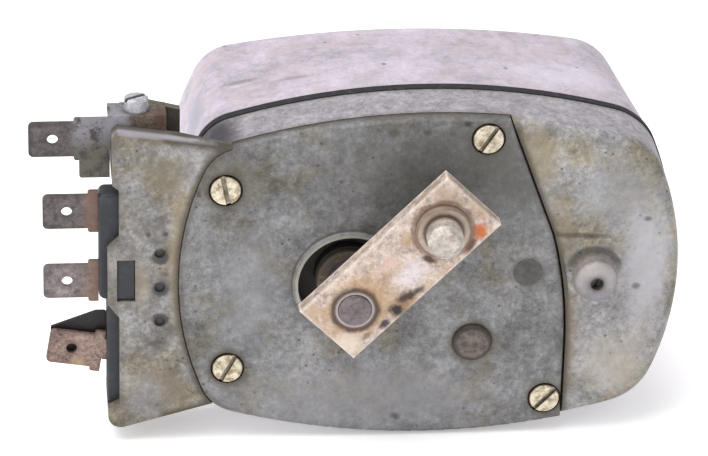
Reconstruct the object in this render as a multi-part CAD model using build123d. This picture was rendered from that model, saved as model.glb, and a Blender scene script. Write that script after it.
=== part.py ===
from build123d import *
from math import acos, atan2, copysign, cos, degrees, hypot, pi, radians, sin, sqrt, tan
import os

# Wiper motor with a built-in reduction gear and a crank arm.
# Millimetres. +Z is up, +X is to the right and +Y points to the rear.
# The gear cover faces -Y. The origin is the middle of the rear mounting face.

# ---- Overall body -----------------------------------------------------------
left_margin = 9.02           # tips of the output gear to the left end
right_margin = 3.5           # armature core to the right end
bottom_margin = 1.99         # below the chamber that clears the large wheel
body_middle_z = -0.7         # middle of the outline, above the armature axis
crown_ratio = 2.80           # radius of the top and bottom sides, in half widths
left_ratio = 1.77            # radius of the left side, in half heights
right_ratio = 1.72
left_corner = 8.0
right_corner = 11.0
flare = 0.1                  # the front housing grows this much towards the joint
cap_edge_radius = 2.6
housing_wall = 2.5
bulkhead_thickness = 2.2
body_gasket_thickness = 1.8
gasket_lip = 0.2             # how far the joint gasket stands proud
seam_gap = 0.25

# ---- Rear cover -------------------------------------------------------------
cover_wall = 1.6
rear_inset_x = 1.0           # the rear cover narrows this much towards its end
rear_inset_z = 1.2
rear_shift_x = -1.2
rear_crown_ratio = 4.82
rear_left_ratio = 1.66
rear_right_ratio = 1.46
rear_left_corner = 8.0
rear_right_corner = 9.0
rear_edge_radius = 3.2
seat_setback = 0.5           # bolt seats stay this far inside the cover

# ---- Gear cover -------------------------------------------------------------
gear_cover_thickness = 2.2
gear_gasket_thickness = 0.4
gasket_setback = 0.1
cover_edge_radius = 0.6
seam_top_inset = 15.7        # where the seam meets the top side, left of the armature axis
seam_bend_inset = 7.0
seam_bend_z = 7.2
seam_low_inset = 4.2
seam_low_z = -14.0
seam_reach = 12.0            # the cutting shape of the seam stands this far past the body
ledge = 1.8                  # land that carries the cover along the seam
well_radius = 9.0            # recess round the output shaft
well_lip_width = 1.0
well_lip_height = 0.9
well_wall = 1.5
well_floor = 1.2
neck_radius = 5.8

# ---- Gear train -------------------------------------------------------------
pressure_angle = 25.0
flank_clearance = 0.035      # taken off every flank
wheel_addendum = 0.8         # in modules
pinion_addendum = 1.0
root_depth = 1.25
module_3 = 0.8               # last stage
module_2 = 0.8125 * module_3
module_1 = 0.75 * module_3
armature_teeth = 9
wheel_1_teeth = 29
pinion_1_teeth = 12
wheel_2_teeth = 38
pinion_2_teeth = 12
output_teeth = 50
armature_z = 0.0
wheel_1_bearing = 179.5      # direction from the armature to axle 1, degrees
wheel_2_bearing = 235.2      # direction from axle 1 to axle 2
output_bearing = 150.9       # direction from axle 2 to the output shaft
front_layer_width = 2.6
rear_layer_width = 3.0
layer_gap = 0.8              # between the two layers of wheels
gear_side_clearance = 0.5
tip_room = 0.3               # more room round the tips of wheel and pinion teeth
bulkhead_clearance = 0.6     # behind the rear layer of wheels
running_clearance = 0.04
wheel_hole_radius = 2.75     # lightening holes of the large idler wheel
wheel_hole_count = 6
hub_seat = 0.1               # the hubs stand this much below the roots of their pinions
axle_1_radius = 2.0
axle_1_head_radius = 2.6
axle_2_radius = 2.5
axle_2_shank_radius = 3.0
axle_2_head_radius = 3.5
axle_2_head_height = 1.0
axle_head_rounding = 0.8      # share of a head's height

# ---- Output shaft and crank -------------------------------------------------
output_shaft_radius = 4.0
output_bush_wall = 1.0
rear_bearing_length = 14.0
bearing_boss_wall = 2.2
clip_thickness = 0.8
clip_gap = 2.4
clip_groove = 0.6
clip_stand = 1.6             # how far the retaining ring stands proud of the shaft
shaft_overhang = 2.6         # end of the shaft, behind its rear bearing
shaft_tail = 1.0             # behind the retaining ring's groove
washer_thickness = 0.6
washer_width = 2.0
washer_gap = 0.1
washer_play = 0.05
seal_width = 1.2
seal_lap = 0.2               # the seal sits this much inside the neck's edge
neck_drop = 0.4
arm_length = 35.0
arm_width = 13.2
arm_thickness = 2.8
arm_clearance = 7.5          # gear cover face to the back of the arm
arm_angle = 45.6
arm_tail = 6.74              # shaft centre to the near end of the arm
arm_edge_radius = 0.35
pin_end_inset = 7.36         # crank pin's centre to the far end of the arm
shaft_end_radius = 2.9
shaft_end_height = 0.4
shaft_chamfer = 0.4
arm_seat_play = 0.1
pin_radius = 3.1
pin_height = 5.6             # above the face of the arm
pin_collar_radius = 4.8
pin_collar_height = 1.1
pin_collar_edge = 0.3
pin_tip_chamfer = 0.9
pin_rivet_radius = 2.5
pin_rivet_head = 3.6
pin_rivet_height = 0.8

# ---- Park switch ------------------------------------------------------------
park_disc_thickness = 0.45
park_track_middle = 15.0
park_track_width = 7.0
finger_thickness = 0.3
finger_overrun = 1.0         # past the middle of the track
finger_pad_length = 5.0      # the end that rides on the contact disc
finger_width = 3.6
finger_gap = 0.12

# ---- Fasteners --------------------------------------------------------------
cover_screw_radius = 1.5
cover_screw_head_radius = 2.6
cover_screw_head_height = 1.3
cover_screw_head_edge = 0.35
screw_play = 0.15
head_play = 0.35
screw_end_room = 0.5
cover_screw_sink = 0.8
cover_screw_length = 6.0
# Screws: inwards from the left end or along from the armature axis, down from the top
# or up from the bottom as a negative, and the turn of the slot.
left_cover_screws = [(8.1, 12.8, 102), (8.7, -13.7, 62)]
right_cover_screws = [(-19.2, 4.0, 57), (-7.5, -6.3, 46)]
slot_width = 0.8
slot_depth = 0.7
post_radius = 3.3
bolt_radius = 1.95
bolt_clearance = 0.05
bolt_head_radius = 3.4
bolt_head_height = 2.2
bolt_head_edge = 0.5
bolt_head_sink = 2.6
post_end_room = 1.2          # the bolts run this far into the front posts
bolt_seat_wall = 1.5
left_bolt_inset = 7.4
left_bolt_z = 9.0
core_bolt_inset = 6.4        # core bolts, left of the armature axis
core_bolt_rise = 4.4         # core bolts, outside the bore
left_boss_height = 5.0
bolt_slot_width = 1.1
bolt_end = 1.0               # the bolts reach this far through the bulkhead side

# ---- Thrust boss ------------------------------------------------------------
boss_radius = 3.85
boss_height = 5.0
boss_edge_radius = 1.6
pad_radius = 6.4
pad_height = 0.3
thrust_screw_radius = 1.1
thrust_screw_length = 2.9
thrust_screw_sink = 1.0
thrust_slot_width = 0.5
thrust_slot_turn = 75
tip_play = 0.1

# ---- Motor ------------------------------------------------------------------
armature_shaft_radius = 2.0
armature_tip_radius = 1.2
armature_tip_taper = 0.6
pinion_shoulder_gap = 0.2
shaft_end_play = 0.4
armature_bush_wall = 2.0
armature_radius = 11.7
air_gap = 0.5
core_length = 12.0
core_end_room = 9.3          # behind the cores: coils, bearing and cover
slot_count = 8
slot_depth_in = 1.2          # the slots lie this far below the core's surface
slot_lining = 0.15
slot_radius = 2.1
slot_mouth = 1.2
end_turn_front = 1.8
end_turn_rear = 2.5
end_turn_rounding = 0.8
end_turn_room = 1.2          # between the end turns and the rear bush
end_turn_overhang = 0.15     # the end turns reach this far outside the slots
commutator_radius = 5.0
riser_width = 0.8
riser_height = 1.0
riser_gap = 0.3              # between the brushes and the riser
end_turn_gap = 0.2
commutator_bars = 8
bar_gap = 0.5
leg_height = 7.6             # field core leg, above and below the bore
yoke_reach = 25.4            # left side of the yoke, from the armature axis
yoke_width = 7.0
leg_reach = 7.6              # ends of the legs, right of the armature axis
core_clearance = 1.5
pole_half_gap = 5.0
coil_build = 4.5
coil_setback = 0.3
bobbin_wall = 0.8
bobbin_fit = 0.08
brush_width = 3.2
brush_height = 4.0
brush_length = 7.5
brush_gap = 0.12
holder_wall = 0.6
holder_length = 12.0
holder_clearance = 0.08
holder_start = 1.0           # the holders begin this far outside the commutator
holder_foot_height = 0.62
holder_foot_width = 4.8
holder_foot_length = 8.0
brush_plate_thickness = 1.4
brush_plate_width = 17.0
brush_plate_corner = 3.0
brush_plate_margin = 1.0
brush_plate_bore_gap = 1.6
spring_wire = 0.35
spring_play = 0.1

# ---- Terminal bracket -------------------------------------------------------
bracket_reach = 11.2         # left edge, from the body's left end
bracket_top_drop = 2.1       # top edge at its left end, below the body's top
bracket_right_inset = 8.8    # right end of the top edge
bracket_right_drop = 4.9
bracket_foot_rise = 1.7      # bottom edge at its left end, above the body's bottom
bracket_foot_slope = 0.28
bracket_inner = 9.2          # the bracket's plate runs this far into the body's corner
bracket_corner = 2.2
bracket_wall = 2.0
pocket_wall = 1.0            # left over of the body's side behind the terminal block
rib_depth = 4.3              # plate and rib above the terminal block
rib_end_slant = 3.0
rib_end_depth = 2.4
rib_root_drop = 6.5
notch_depth = 1.2
notch_bevel = 1.0
tongue_length = 0.8
tongue_bevel = 2.0
upper_notch_rise = 2.7       # above the block's top
upper_notch_bottom = 7.9
lower_notch_rise = 7.1       # above the body's bottom
window_inset = 0.8
window_width = 3.1
window_height = 7.9
block_stand = 2.25            # the block stands this far left of the bracket
block_depth = 4.6
block_rise = 3.9             # block above the middle of the upper blade
block_foot_rise = 6.1        # block above the body's bottom
block_clearance = 0.15
block_rounding = 1.2
block_edge = 0.5
block_fit = 0.05
lobe_gap_z = -5.1            # notch between the block's two lobes
lobe_gap = 1.0
lobe_step = 1.3              # the lower lobe stands back this much
tongue_in = 0.6              # the block's tongue behind the gasket's rim
tongue_thickness = 3.4
tongue_rise = 3.1
tongue_cap = 2.9
pip_radius = 0.9
pip_depth = 0.5
pip_inset = 3.1
pip_pitch = 6.6
pip_middle_z = -1.4

# ---- Terminals --------------------------------------------------------------
blade_width = 6.3
blade_thickness = 0.8
blade_length = 7.7
blade_corner = 0.9
blade_hole_radius = 0.95
blade_hole_from_tip = 4.1
shoulder_width = 7.8
shoulder_length = 1.8
tail_width = 3.6
tail_length = 5.0            # the tails end this far inside the body's left end
blade_depth = 4.0            # middle of the blades, behind the gear cover face
blade_top_z = 11.6           # middle of the upper blade
blade_pitch = 13.3
lower_blade_tilt = 9.0
lower_blade_drop = 0.6
lower_blade_back = 0.7
leaf_gap = 0.5               # between the lower blade and the leaf behind it
leaf_thickness = 0.7
leaf_tip_rise = 3.8          # leaf's upper edge above the blade's middle, at its tip
leaf_root_rise = 6.7
leaf_drop = 2.3
leaf_inset = 0.6
earth_tip_reach = 14.0       # tip of the earth blade, left of the bracket
earth_blade_drop = 4.9       # its middle, below the body's top
earth_blade_depth = 5.0
earth_plate_foot = 7.2       # bottom of its root plate, below the blade's middle
earth_plate_head = 3.9
earth_strip_rise = 4.3       # top of its folded strip, above the blade's middle
earth_strip_depth = 5.6
earth_strip_length = 9.4
strip_overhang = 0.5
strip_setback = 0.1
strip_room = 0.3
earth_plate_gap = 0.2
gusset_drop = 1.6            # fall of the gusset's top towards the body
gusset_end = 0.8             # its lower end, inside the body's left end
earth_boss_inset = 1.4       # the casting's boss under the strip
earth_boss_length = 8.0
earth_boss_rounding = 0.6
earth_screw_inset = 4.4
earth_screw_radius = 1.5
earth_screw_length = 8.2
earth_screw_head_radius = 2.1
earth_screw_head_height = 2.4
earth_slot_width = 0.8
earth_slot_depth = 0.7

# ---- Rear mounting ----------------------------------------------------------
mount_circle_radius = 21.0
mount_hole_radius = 2.1
mount_hole_depth = 7.5
mount_boss_radius = 4.4
mount_first_angle = 60.0
mount_count = 3


def step_from(x, z, distance, bearing):
    """Place at a distance and bearing from another, in the XZ plane."""
    return x + distance * cos(radians(bearing)), z + distance * sin(radians(bearing))


# ---- Gear axes and outline, from the tooth counts -----------------------------
distance_1 = module_1 * (armature_teeth + wheel_1_teeth) / 2
distance_2 = module_2 * (pinion_1_teeth + wheel_2_teeth) / 2
distance_3 = module_3 * (pinion_2_teeth + output_teeth) / 2
from_armature_1 = step_from(0, armature_z, distance_1, wheel_1_bearing)
from_armature_2 = step_from(*from_armature_1, distance_2, wheel_2_bearing)
from_armature_3 = step_from(*from_armature_2, distance_3, output_bearing)
output_tip_radius = module_3 * (output_teeth / 2 + wheel_addendum)
wheel_2_tip_radius = module_2 * (wheel_2_teeth / 2 + wheel_addendum)
left_reach = output_tip_radius + left_margin
right_reach = armature_radius + right_margin
half_width = (right_reach - from_armature_3[0] + left_reach) / 2
wheel_room = wheel_2_tip_radius + gear_side_clearance + housing_wall
half_height = body_middle_z - from_armature_2[1] + wheel_room + bottom_margin
armature_x = half_width - right_reach
axle_1_x, axle_1_z = armature_x + from_armature_1[0], from_armature_1[1]
axle_2_x, axle_2_z = armature_x + from_armature_2[0], from_armature_2[1]
output_x, output_z = armature_x + from_armature_3[0], from_armature_3[1]
body_top = body_middle_z + half_height
body_bottom = body_middle_z - half_height
crown_radius = crown_ratio * half_width
left_radius = left_ratio * half_height
right_radius = right_ratio * half_height

# ---- Levels along Y, measured back from the gear cover face --------------------
wheel_layers = front_layer_width + layer_gap + rear_layer_width
chamber_depth = gear_cover_thickness + gear_side_clearance + wheel_layers + bulkhead_clearance
casting_depth = chamber_depth + bulkhead_thickness
holder_height = brush_height + 2 * (holder_clearance + holder_wall)
brush_middle = casting_depth + brush_plate_thickness + holder_foot_height + holder_height / 2
commutator_end = brush_middle + brush_height / 2 + riser_gap + riser_width
core_front = commutator_end + end_turn_gap + end_turn_front
body_depth = core_front + core_length + core_end_room
face = -body_depth
rim = face + gear_cover_thickness + gear_gasket_thickness
joint = face + casting_depth
bulkhead = joint - bulkhead_thickness
cover_front = joint + body_gasket_thickness
cover_floor = -cover_wall
front_layer = face + gear_cover_thickness + gear_side_clearance
front_layer_end = front_layer + front_layer_width
rear_layer = front_layer_end + layer_gap
rear_layer_end = rear_layer + rear_layer_width
core_start = face + core_front
core_end = core_start + core_length
rear_bush_front = core_end + end_turn_rear + end_turn_room
arm_front = face - arm_clearance - arm_thickness
arm_back = face - arm_clearance
crank_throw = arm_length - arm_tail - pin_end_inset
well_end = rear_layer - park_disc_thickness - 0.05
brush_level = face + brush_middle
rear_bearing_end = bulkhead + rear_bearing_length
shaft_end = rear_bearing_end + shaft_overhang
clip_front = shaft_end - shaft_tail - clip_thickness

# ---- Places of the motor, the fasteners and the terminals ----------------------
seam_top_x = armature_x - seam_top_inset
seam_bend_x = armature_x - seam_bend_inset
seam_low_x = armature_x - seam_low_inset
cover_screw_places = [(x - half_width, copysign(half_height, z) + body_middle_z - z, turn)
                      for x, z, turn in left_cover_screws]
cover_screw_places += [(armature_x + x, copysign(half_height, z) + body_middle_z - z, turn)
                       for x, z, turn in right_cover_screws]
left_bolt_x = left_bolt_inset - half_width
core_bolt_x = armature_x - core_bolt_inset
core_bolt_z = armature_radius + air_gap + core_bolt_rise
yoke_left = armature_x - yoke_reach
leg_end_x = armature_x + leg_reach
commutator_length = brush_height + riser_width + 2 * riser_gap
bracket_left = -half_width - bracket_reach
bracket_top_left_z = body_top - bracket_top_drop
bracket_bottom_z = body_bottom + bracket_foot_rise
block_left = bracket_left - block_stand
block_top = blade_top_z + block_rise
block_bottom = body_bottom + block_foot_rise
window_left = bracket_left + window_inset
pip_x = -half_width - pip_inset
blade_middle = face + blade_depth
tail_end_x = tail_length - half_width
tongue_front = rim + tongue_in
tongue_rear = tongue_front + tongue_thickness
tongue_bottom = block_bottom + tongue_rise
tongue_top = blade_top_z + tongue_cap
tongue_end_x = -half_width + housing_wall + tongue_in
earth_blade_z = body_top - earth_blade_drop
earth_seat = earth_blade_z + earth_strip_rise - blade_thickness
earth_screw_x = bracket_left + earth_screw_inset
earth_screw_y = face + rib_depth + earth_strip_depth / 2


# ---- Drawing helpers ----------------------------------------------------------


def slab(profile, front, rear):
    """Prism of a profile drawn in X and Z, between two levels of Y."""
    return extrude(Plane.XZ.offset(-rear) * profile, amount=rear - front)


def rod(x, z, radius, front, rear):
    """Cylinder along Y."""
    return slab(Pos(x, z) * Circle(radius), front, rear)


def tube(x, z, outer, inner, front, rear):
    """Hollow cylinder along Y."""
    return slab(Pos(x, z) * (Circle(outer) - Circle(inner)), front, rear)


def block(x0, x1, y0, y1, z0, z1):
    """Box between two corners."""
    size = Box(x1 - x0, y1 - y0, z1 - z0)
    return Pos((x0 + x1) / 2, (y0 + y1) / 2, (z0 + z1) / 2) * size


def rectangle(x0, x1, z0, z1):
    """Rectangle in the XZ plane between two corners."""
    return Pos((x0 + x1) / 2, (z0 + z1) / 2) * Rectangle(x1 - x0, z1 - z0)


def turned(x, z, profile):
    """Solid of revolution about an axis along Y, from (radius, y) points."""
    face_2d = make_face(Polyline(*profile, close=True))
    return Pos(x, 0, z) * revolve(face_2d, Axis.Y)


def corner_place(middle_x, radius, middle_z, crown, side):
    """Where a side arc meets the top arc; side is -1 for the left and 1 for the right."""
    gap = hypot(middle_x, middle_z)
    along_x, along_z = -middle_x / gap, middle_z / gap
    run = (radius ** 2 - crown ** 2 + gap ** 2) / (2 * gap)
    reach = side * sqrt(radius ** 2 - run ** 2)
    return middle_x + run * along_x - reach * along_z, run * along_z + reach * along_x


def four_arc_outline(width, height, crown, left, right, corner_l, corner_r):
    """Closed outline of four long arcs with rounded corners, about the body's middle."""
    left_x, left_z = corner_place(left - width, left, height - crown, crown, -1)
    right_x, right_z = corner_place(width - right, right, height - crown, crown, 1)
    sides = [
        ThreePointArc((left_x, left_z), (0, height), (right_x, right_z)),
        ThreePointArc((right_x, right_z), (width, 0), (right_x, -right_z)),
        ThreePointArc((right_x, -right_z), (0, -height), (left_x, -left_z)),
        ThreePointArc((left_x, -left_z), (-width, 0), (left_x, left_z)),
    ]
    shape = make_face(Wire(sides))
    shape = fillet(shape.vertices().sort_by(Axis.X)[:2], corner_l)
    shape = fillet(shape.vertices().sort_by(Axis.X)[-2:], corner_r)
    return Pos(0, body_middle_z) * shape


def outline(offset=0.0):
    """Outline of the front housing, moved outwards by an offset."""
    return four_arc_outline(
        half_width + offset,
        half_height + offset,
        crown_radius + offset,
        left_radius + offset,
        right_radius + offset,
        left_corner + offset,
        right_corner + offset,
    )


def rear_outline(offset=0.0):
    """Outline of the rear cover at its closed end."""
    return Pos(rear_shift_x, 0) * four_arc_outline(
        half_width - rear_inset_x + offset,
        half_height - rear_inset_z + offset,
        rear_crown_ratio * half_width + offset,
        rear_left_ratio * half_height + offset,
        rear_right_ratio * half_height + offset,
        rear_left_corner + offset,
        rear_right_corner + offset,
    )


def left_of_seam(shift=0.0):
    """Region of the gear cover, bounded by its slanting right seam."""
    far = half_width + seam_reach
    rise = half_height + seam_reach
    slope = (seam_top_x - seam_bend_x) / (half_height - seam_bend_z)
    top = (seam_bend_x + slope * (rise - seam_bend_z) + shift, rise)
    bend = (seam_bend_x + shift, seam_bend_z)
    low = (seam_low_x + shift, seam_low_z)
    foot = (seam_low_x + shift, -rise)
    path = Polyline(bend, top, (-far, rise), (-far, -rise), foot, low)
    curve = TangentArc(low, bend, tangent=(0, 1))
    return make_face(path + curve)


def gear_cover_outline(offset):
    return outline(offset) & left_of_seam(offset - seam_gap)


# ---- Housing ------------------------------------------------------------------


def bracket_outline():
    """Front view of the terminal bracket, with its notches, tongue and finger."""
    notch_x = bracket_left + notch_depth
    tongue_x = bracket_left - tongue_length
    inner_x = bracket_inner - half_width
    right_x = bracket_right_inset - half_width
    right_z = body_top - bracket_right_drop
    notch_top = block_top + upper_notch_rise
    notch_bottom = body_bottom + lower_notch_rise
    foot_rise = bracket_foot_slope * (inner_x - tongue_x)
    points = [
        (inner_x, right_z),
        (right_x, right_z),
        (bracket_left + notch_bevel, bracket_top_left_z),
        (bracket_left, bracket_top_left_z - notch_bevel),
        (bracket_left, notch_top),
        (notch_x, notch_top - notch_bevel),
        (notch_x, upper_notch_bottom),
        (tongue_x, upper_notch_bottom - tongue_bevel),
        (tongue_x, lobe_gap_z + lobe_gap / 2),
        (notch_x, lobe_gap_z - tongue_bevel),
        (notch_x, notch_bottom),
        (tongue_x, notch_bottom - notch_bevel),
        (tongue_x, bracket_bottom_z),
        (inner_x, bracket_bottom_z + foot_rise),
    ]
    shape = make_face(Polyline(*points, close=True))
    return fillet(shape.vertices().sort_by(Axis.Y)[0], bracket_corner)


def rib_room():
    """Room behind the bracket's front rib, above the terminal block."""
    low = body_top - bracket_top_drop - rib_root_drop
    right_x = bracket_right_inset - half_width
    plan = Polyline((bracket_left - 2, face + rib_depth), (-half_width, face + rib_depth),
                    (right_x, face + rib_end_depth), (right_x + rib_end_slant, joint + 1),
                    (bracket_left - 2, joint + 1), close=True)
    return upright(make_face(plan), low, body_top + 2)


def earth_boss():
    """Boss under the earth strip, with a gusset that falls towards the body."""
    low = body_top - bracket_top_drop - rib_root_drop - 1
    left_x = bracket_left + earth_boss_inset
    right_x = left_x + earth_boss_length
    boss = block(left_x, right_x, face + rib_depth + blade_thickness, joint, low, earth_seat)
    boss = fillet(boss.edges().filter_by(Axis.Z), earth_boss_rounding)
    gusset_left = left_x + earth_boss_length / 2
    gusset_right = gusset_end - half_width
    high = earth_seat + blade_thickness
    gusset = Polyline((gusset_left, high), (gusset_right, high - gusset_drop), (gusset_right, low),
                      (gusset_left, low), close=True)
    strip_end = face + rib_depth + earth_strip_depth
    return boss + slab(make_face(gusset), strip_end + strip_room, joint)


def terminal_bracket():
    """Flange on the left that shelters the terminal block."""
    body = slab(bracket_outline(), face, joint)
    pocket_front = face + bracket_wall
    wall_x = -half_width - pocket_wall
    low = block_bottom - block_clearance
    left_x = bracket_left - bracket_wall
    room = block(left_x, wall_x, pocket_front, joint + 1, low, block_top + block_clearance)
    body -= room
    body -= rib_room()
    body += earth_boss()
    window = block(window_left, window_left + window_width, face - 1, pocket_front + 1,
                   -window_height / 2, window_height / 2)
    return body - window


def screw_place(index):
    return cover_screw_places[index][:2]


def bearing_seats():
    """Bosses on both sides of the bulkhead, still without their bores."""
    bush = output_shaft_radius + running_clearance + output_bush_wall
    boss_end = bulkhead + rear_bearing_length
    seats = rod(output_x, output_z, bush + bearing_boss_wall, bulkhead, boss_end)
    for side in (1, -1):
        seats += rod(left_bolt_x, side * left_bolt_z, post_radius, joint, joint + left_boss_height)
        seats += rod(core_bolt_x, side * core_bolt_z, post_radius, joint, core_start)
    return seats


def gear_chamber():
    """Room for the two layers of wheels, open towards the gear cover."""
    floor = outline(-housing_wall) & left_of_seam(-ledge)
    room = slab(floor, rim - 1, bulkhead)
    for x, z in map(screw_place, range(len(cover_screw_places))):
        room -= rod(x, z, post_radius, rim - 1, bulkhead)
    pinion_room = module_2 * (pinion_1_teeth / 2 + pinion_addendum) + gear_side_clearance
    wheel_room = module_1 * (wheel_1_teeth / 2 + wheel_addendum) + gear_side_clearance + tip_room
    armature_room = module_1 * (armature_teeth / 2 + pinion_addendum) + gear_side_clearance + tip_room
    room += rod(axle_1_x, axle_1_z, pinion_room, rim - 1, bulkhead)
    room += rod(axle_1_x, axle_1_z, wheel_room, rear_layer - gear_side_clearance, bulkhead)
    room += rod(armature_x, armature_z, armature_room, rear_layer - gear_side_clearance, bulkhead)
    return room


def thrust_boss():
    """Round boss over the front end of the armature shaft, flared where it meets the cap."""
    cap = rod(armature_x, armature_z, boss_radius, face - boss_height, rear_layer - gear_side_clearance)
    cap = fillet(cap.edges().sort_by(Axis.Y)[0], boss_edge_radius)
    flare_profile = [
        (0, face + 1),
        (0, face - 3 * pad_height),
        (boss_radius, face - 3 * pad_height),
        ((boss_radius + pad_radius) / 2, face - pad_height),
        (pad_radius, face + 0.02),
        (pad_radius, face + 1),
    ]
    pad = turned(armature_x, armature_z, flare_profile)
    pad &= slab(outline(-0.5) - left_of_seam(0.6), face - boss_height, face + 2)
    return cap + pad


def front_housing():
    """Die-cast housing with the gear chamber, the cap and the terminal bracket."""
    taper = degrees(atan2(flare, casting_depth))
    body = extrude(Plane.XZ.offset(-joint) * outline(flare), amount=casting_depth, taper=taper)
    body = fillet(body.edges().group_by(Axis.Y)[0], cap_edge_radius)
    body -= slab(left_of_seam(), face - 1, rim)
    bracket = terminal_bracket() - slab(outline(0.0), face - 1, rim)
    body += bracket - slab(outline(-housing_wall), face - 1, joint + 1)
    body += thrust_boss()
    body -= gear_chamber()
    body += bearing_seats()
    bush = output_shaft_radius + running_clearance + output_bush_wall
    body -= rod(output_x, output_z, bush, bulkhead - 1, bulkhead + rear_bearing_length + 1)
    body -= rod(axle_1_x, axle_1_z, axle_1_radius, bulkhead - 1, joint + 1)
    body -= rod(axle_2_x, axle_2_z, axle_2_radius, bulkhead - 1, joint + 1)
    armature_bush = armature_shaft_radius + running_clearance + armature_bush_wall
    body -= rod(armature_x, armature_z, armature_bush, bulkhead - 1, joint + 1)
    body -= rod(armature_x, armature_z, armature_tip_radius + running_clearance, face - 1, bulkhead)
    body -= rod(armature_x, armature_z, thrust_screw_radius, face - boss_height - 1, thrust_screw_end())
    for x, z in map(screw_place, range(len(cover_screw_places))):
        body -= rod(x, z, cover_screw_radius, rim - 1, screw_tip() + screw_end_room)
    for side in (1, -1):
        body -= rod(left_bolt_x, side * left_bolt_z, bolt_radius + bolt_clearance,
                    joint - post_end_room, joint + left_boss_height + 1)
        body -= rod(core_bolt_x, side * core_bolt_z, bolt_radius + bolt_clearance,
                    joint - post_end_room, core_start + 1)
    body -= terminal_ways()
    for row in range(3):
        body -= rod(pip_x, pip_middle_z + (1 - row) * pip_pitch, pip_radius, face - 1, face + pip_depth)
    return body


def terminal_ways():
    """Cuts for the block's tongue and for the earth screw."""
    wall_in = -half_width + housing_wall + 3
    grow = block_clearance
    way = block(bracket_left, wall_in, tongue_front - grow, tongue_rear + grow,
                tongue_bottom - grow, tongue_top + grow)
    lower = (Align.CENTER, Align.CENTER, Align.MAX)
    hole = Pos(earth_screw_x, earth_screw_y, earth_seat + 1)
    return way + hole * Cylinder(earth_screw_radius, earth_screw_length, align=lower)


def thrust_screw_end():
    return face - boss_height + thrust_screw_sink + thrust_screw_length


def screw_tip():
    return face + cover_screw_sink + cover_screw_length


def gear_cover():
    """Cover plate with the well, lip and neck round the output shaft."""
    plate = slab(gear_cover_outline(0.0), face, face + gear_cover_thickness)
    plate = fillet(plate.edges().group_by(Axis.Y)[0], cover_edge_radius)
    well = rod(output_x, output_z, well_radius + well_wall, face, well_end)
    lip = rod(output_x, output_z, well_radius + well_lip_width, face - well_lip_height, face + 1)
    lip = fillet(lip.edges().sort_by(Axis.Y)[0], well_lip_height * 0.4)
    plate += well + lip
    plate -= rod(output_x, output_z, well_radius, face - well_lip_height - 1, well_end - well_floor)
    plate += rod(output_x, output_z, neck_radius, face + gear_cover_thickness, well_end)
    bush = output_shaft_radius + running_clearance + output_bush_wall
    plate -= rod(output_x, output_z, bush, face - 1, well_end + 1)
    plate -= rod(axle_1_x, axle_1_z, axle_1_head_radius, face - 1, rim)
    plate -= rod(axle_2_x, axle_2_z, axle_2_shank_radius, face - 1, rim)
    for x, z in map(screw_place, range(len(cover_screw_places))):
        plate -= rod(x, z, cover_screw_radius + screw_play, face - 1, rim)
        plate -= rod(x, z, cover_screw_head_radius + head_play, face - 1, face + cover_screw_sink)
    return plate


def gear_cover_gasket():
    """Thin paper gasket under the gear cover."""
    sheet = slab(gear_cover_outline(-gasket_setback), face + gear_cover_thickness, rim)
    sheet -= gear_chamber()
    for x, z in map(screw_place, range(len(cover_screw_places))):
        sheet += rod(x, z, post_radius, face + gear_cover_thickness, rim)
        sheet -= rod(x, z, cover_screw_radius + screw_play, face, rim + 1)
    return sheet & slab(gear_cover_outline(-gasket_setback), face, rim)


def body_gasket():
    """Rubber gasket between the front housing and the rear cover."""
    ring = outline(flare + gasket_lip) - outline(-housing_wall)
    return slab(ring, joint, cover_front)


def cover_loft(front_offset, rear_offset, front, rear):
    """Solid that blends the two outlines of the rear cover."""
    near = Plane.XZ.offset(-front) * outline(front_offset)
    far = Plane.XZ.offset(-rear) * rear_outline(rear_offset)
    return loft([near, far], ruled=True)


def mount_places():
    """Middles of the mounting holes on the rear face."""
    step = 360 / mount_count
    return [step_from(0, 0, mount_circle_radius, mount_first_angle + step * i) for i in range(mount_count)]


def rear_cover():
    """Deep cast cover over the motor, with mounting bosses on its closed end."""
    shell = cover_loft(flare, 0.0, cover_front, 0.0)
    shell = fillet(shell.faces().sort_by(Axis.Y)[-1].edges(), rear_edge_radius)
    shell -= cover_loft(flare - cover_wall, -cover_wall, cover_front, cover_floor)
    bush = armature_shaft_radius + running_clearance + armature_bush_wall
    shell += rod(armature_x, armature_z, bush + cover_wall, rear_bush_front, cover_floor)
    for x, z in mount_places():
        shell += rod(x, z, mount_boss_radius, cover_floor - mount_hole_depth + 1, cover_floor)
    head_room = bolt_head_radius + head_play
    for x, z in bolt_places():
        post_end = core_end if x == core_bolt_x else joint + left_boss_height
        shell += rod(x, z, post_radius, post_end, cover_floor)
        seat = rod(x, z, head_room + bolt_seat_wall, -bolt_head_sink - bolt_seat_wall, cover_floor)
        shell += seat & cover_loft(-seat_setback, -seat_setback, cover_front, 0.0)
    for x, z in mount_places():
        shell -= rod(x, z, mount_hole_radius, -mount_hole_depth, 1)
    for x, z in bolt_places():
        shell -= rod(x, z, bolt_radius + bolt_clearance, face, 1)
        shell -= rod(x, z, head_room, -bolt_head_sink, 1)
    shell -= rod(armature_x, armature_z, bush, cover_front, cover_floor)
    return shell


def bolt_places():
    left = [(left_bolt_x, side * left_bolt_z) for side in (1, -1)]
    core = [(core_bolt_x, side * core_bolt_z) for side in (1, -1)]
    return left + core


# ---- Gear wheels and pinions --------------------------------------------------


def involute(angle):
    return tan(angle) - angle


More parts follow.
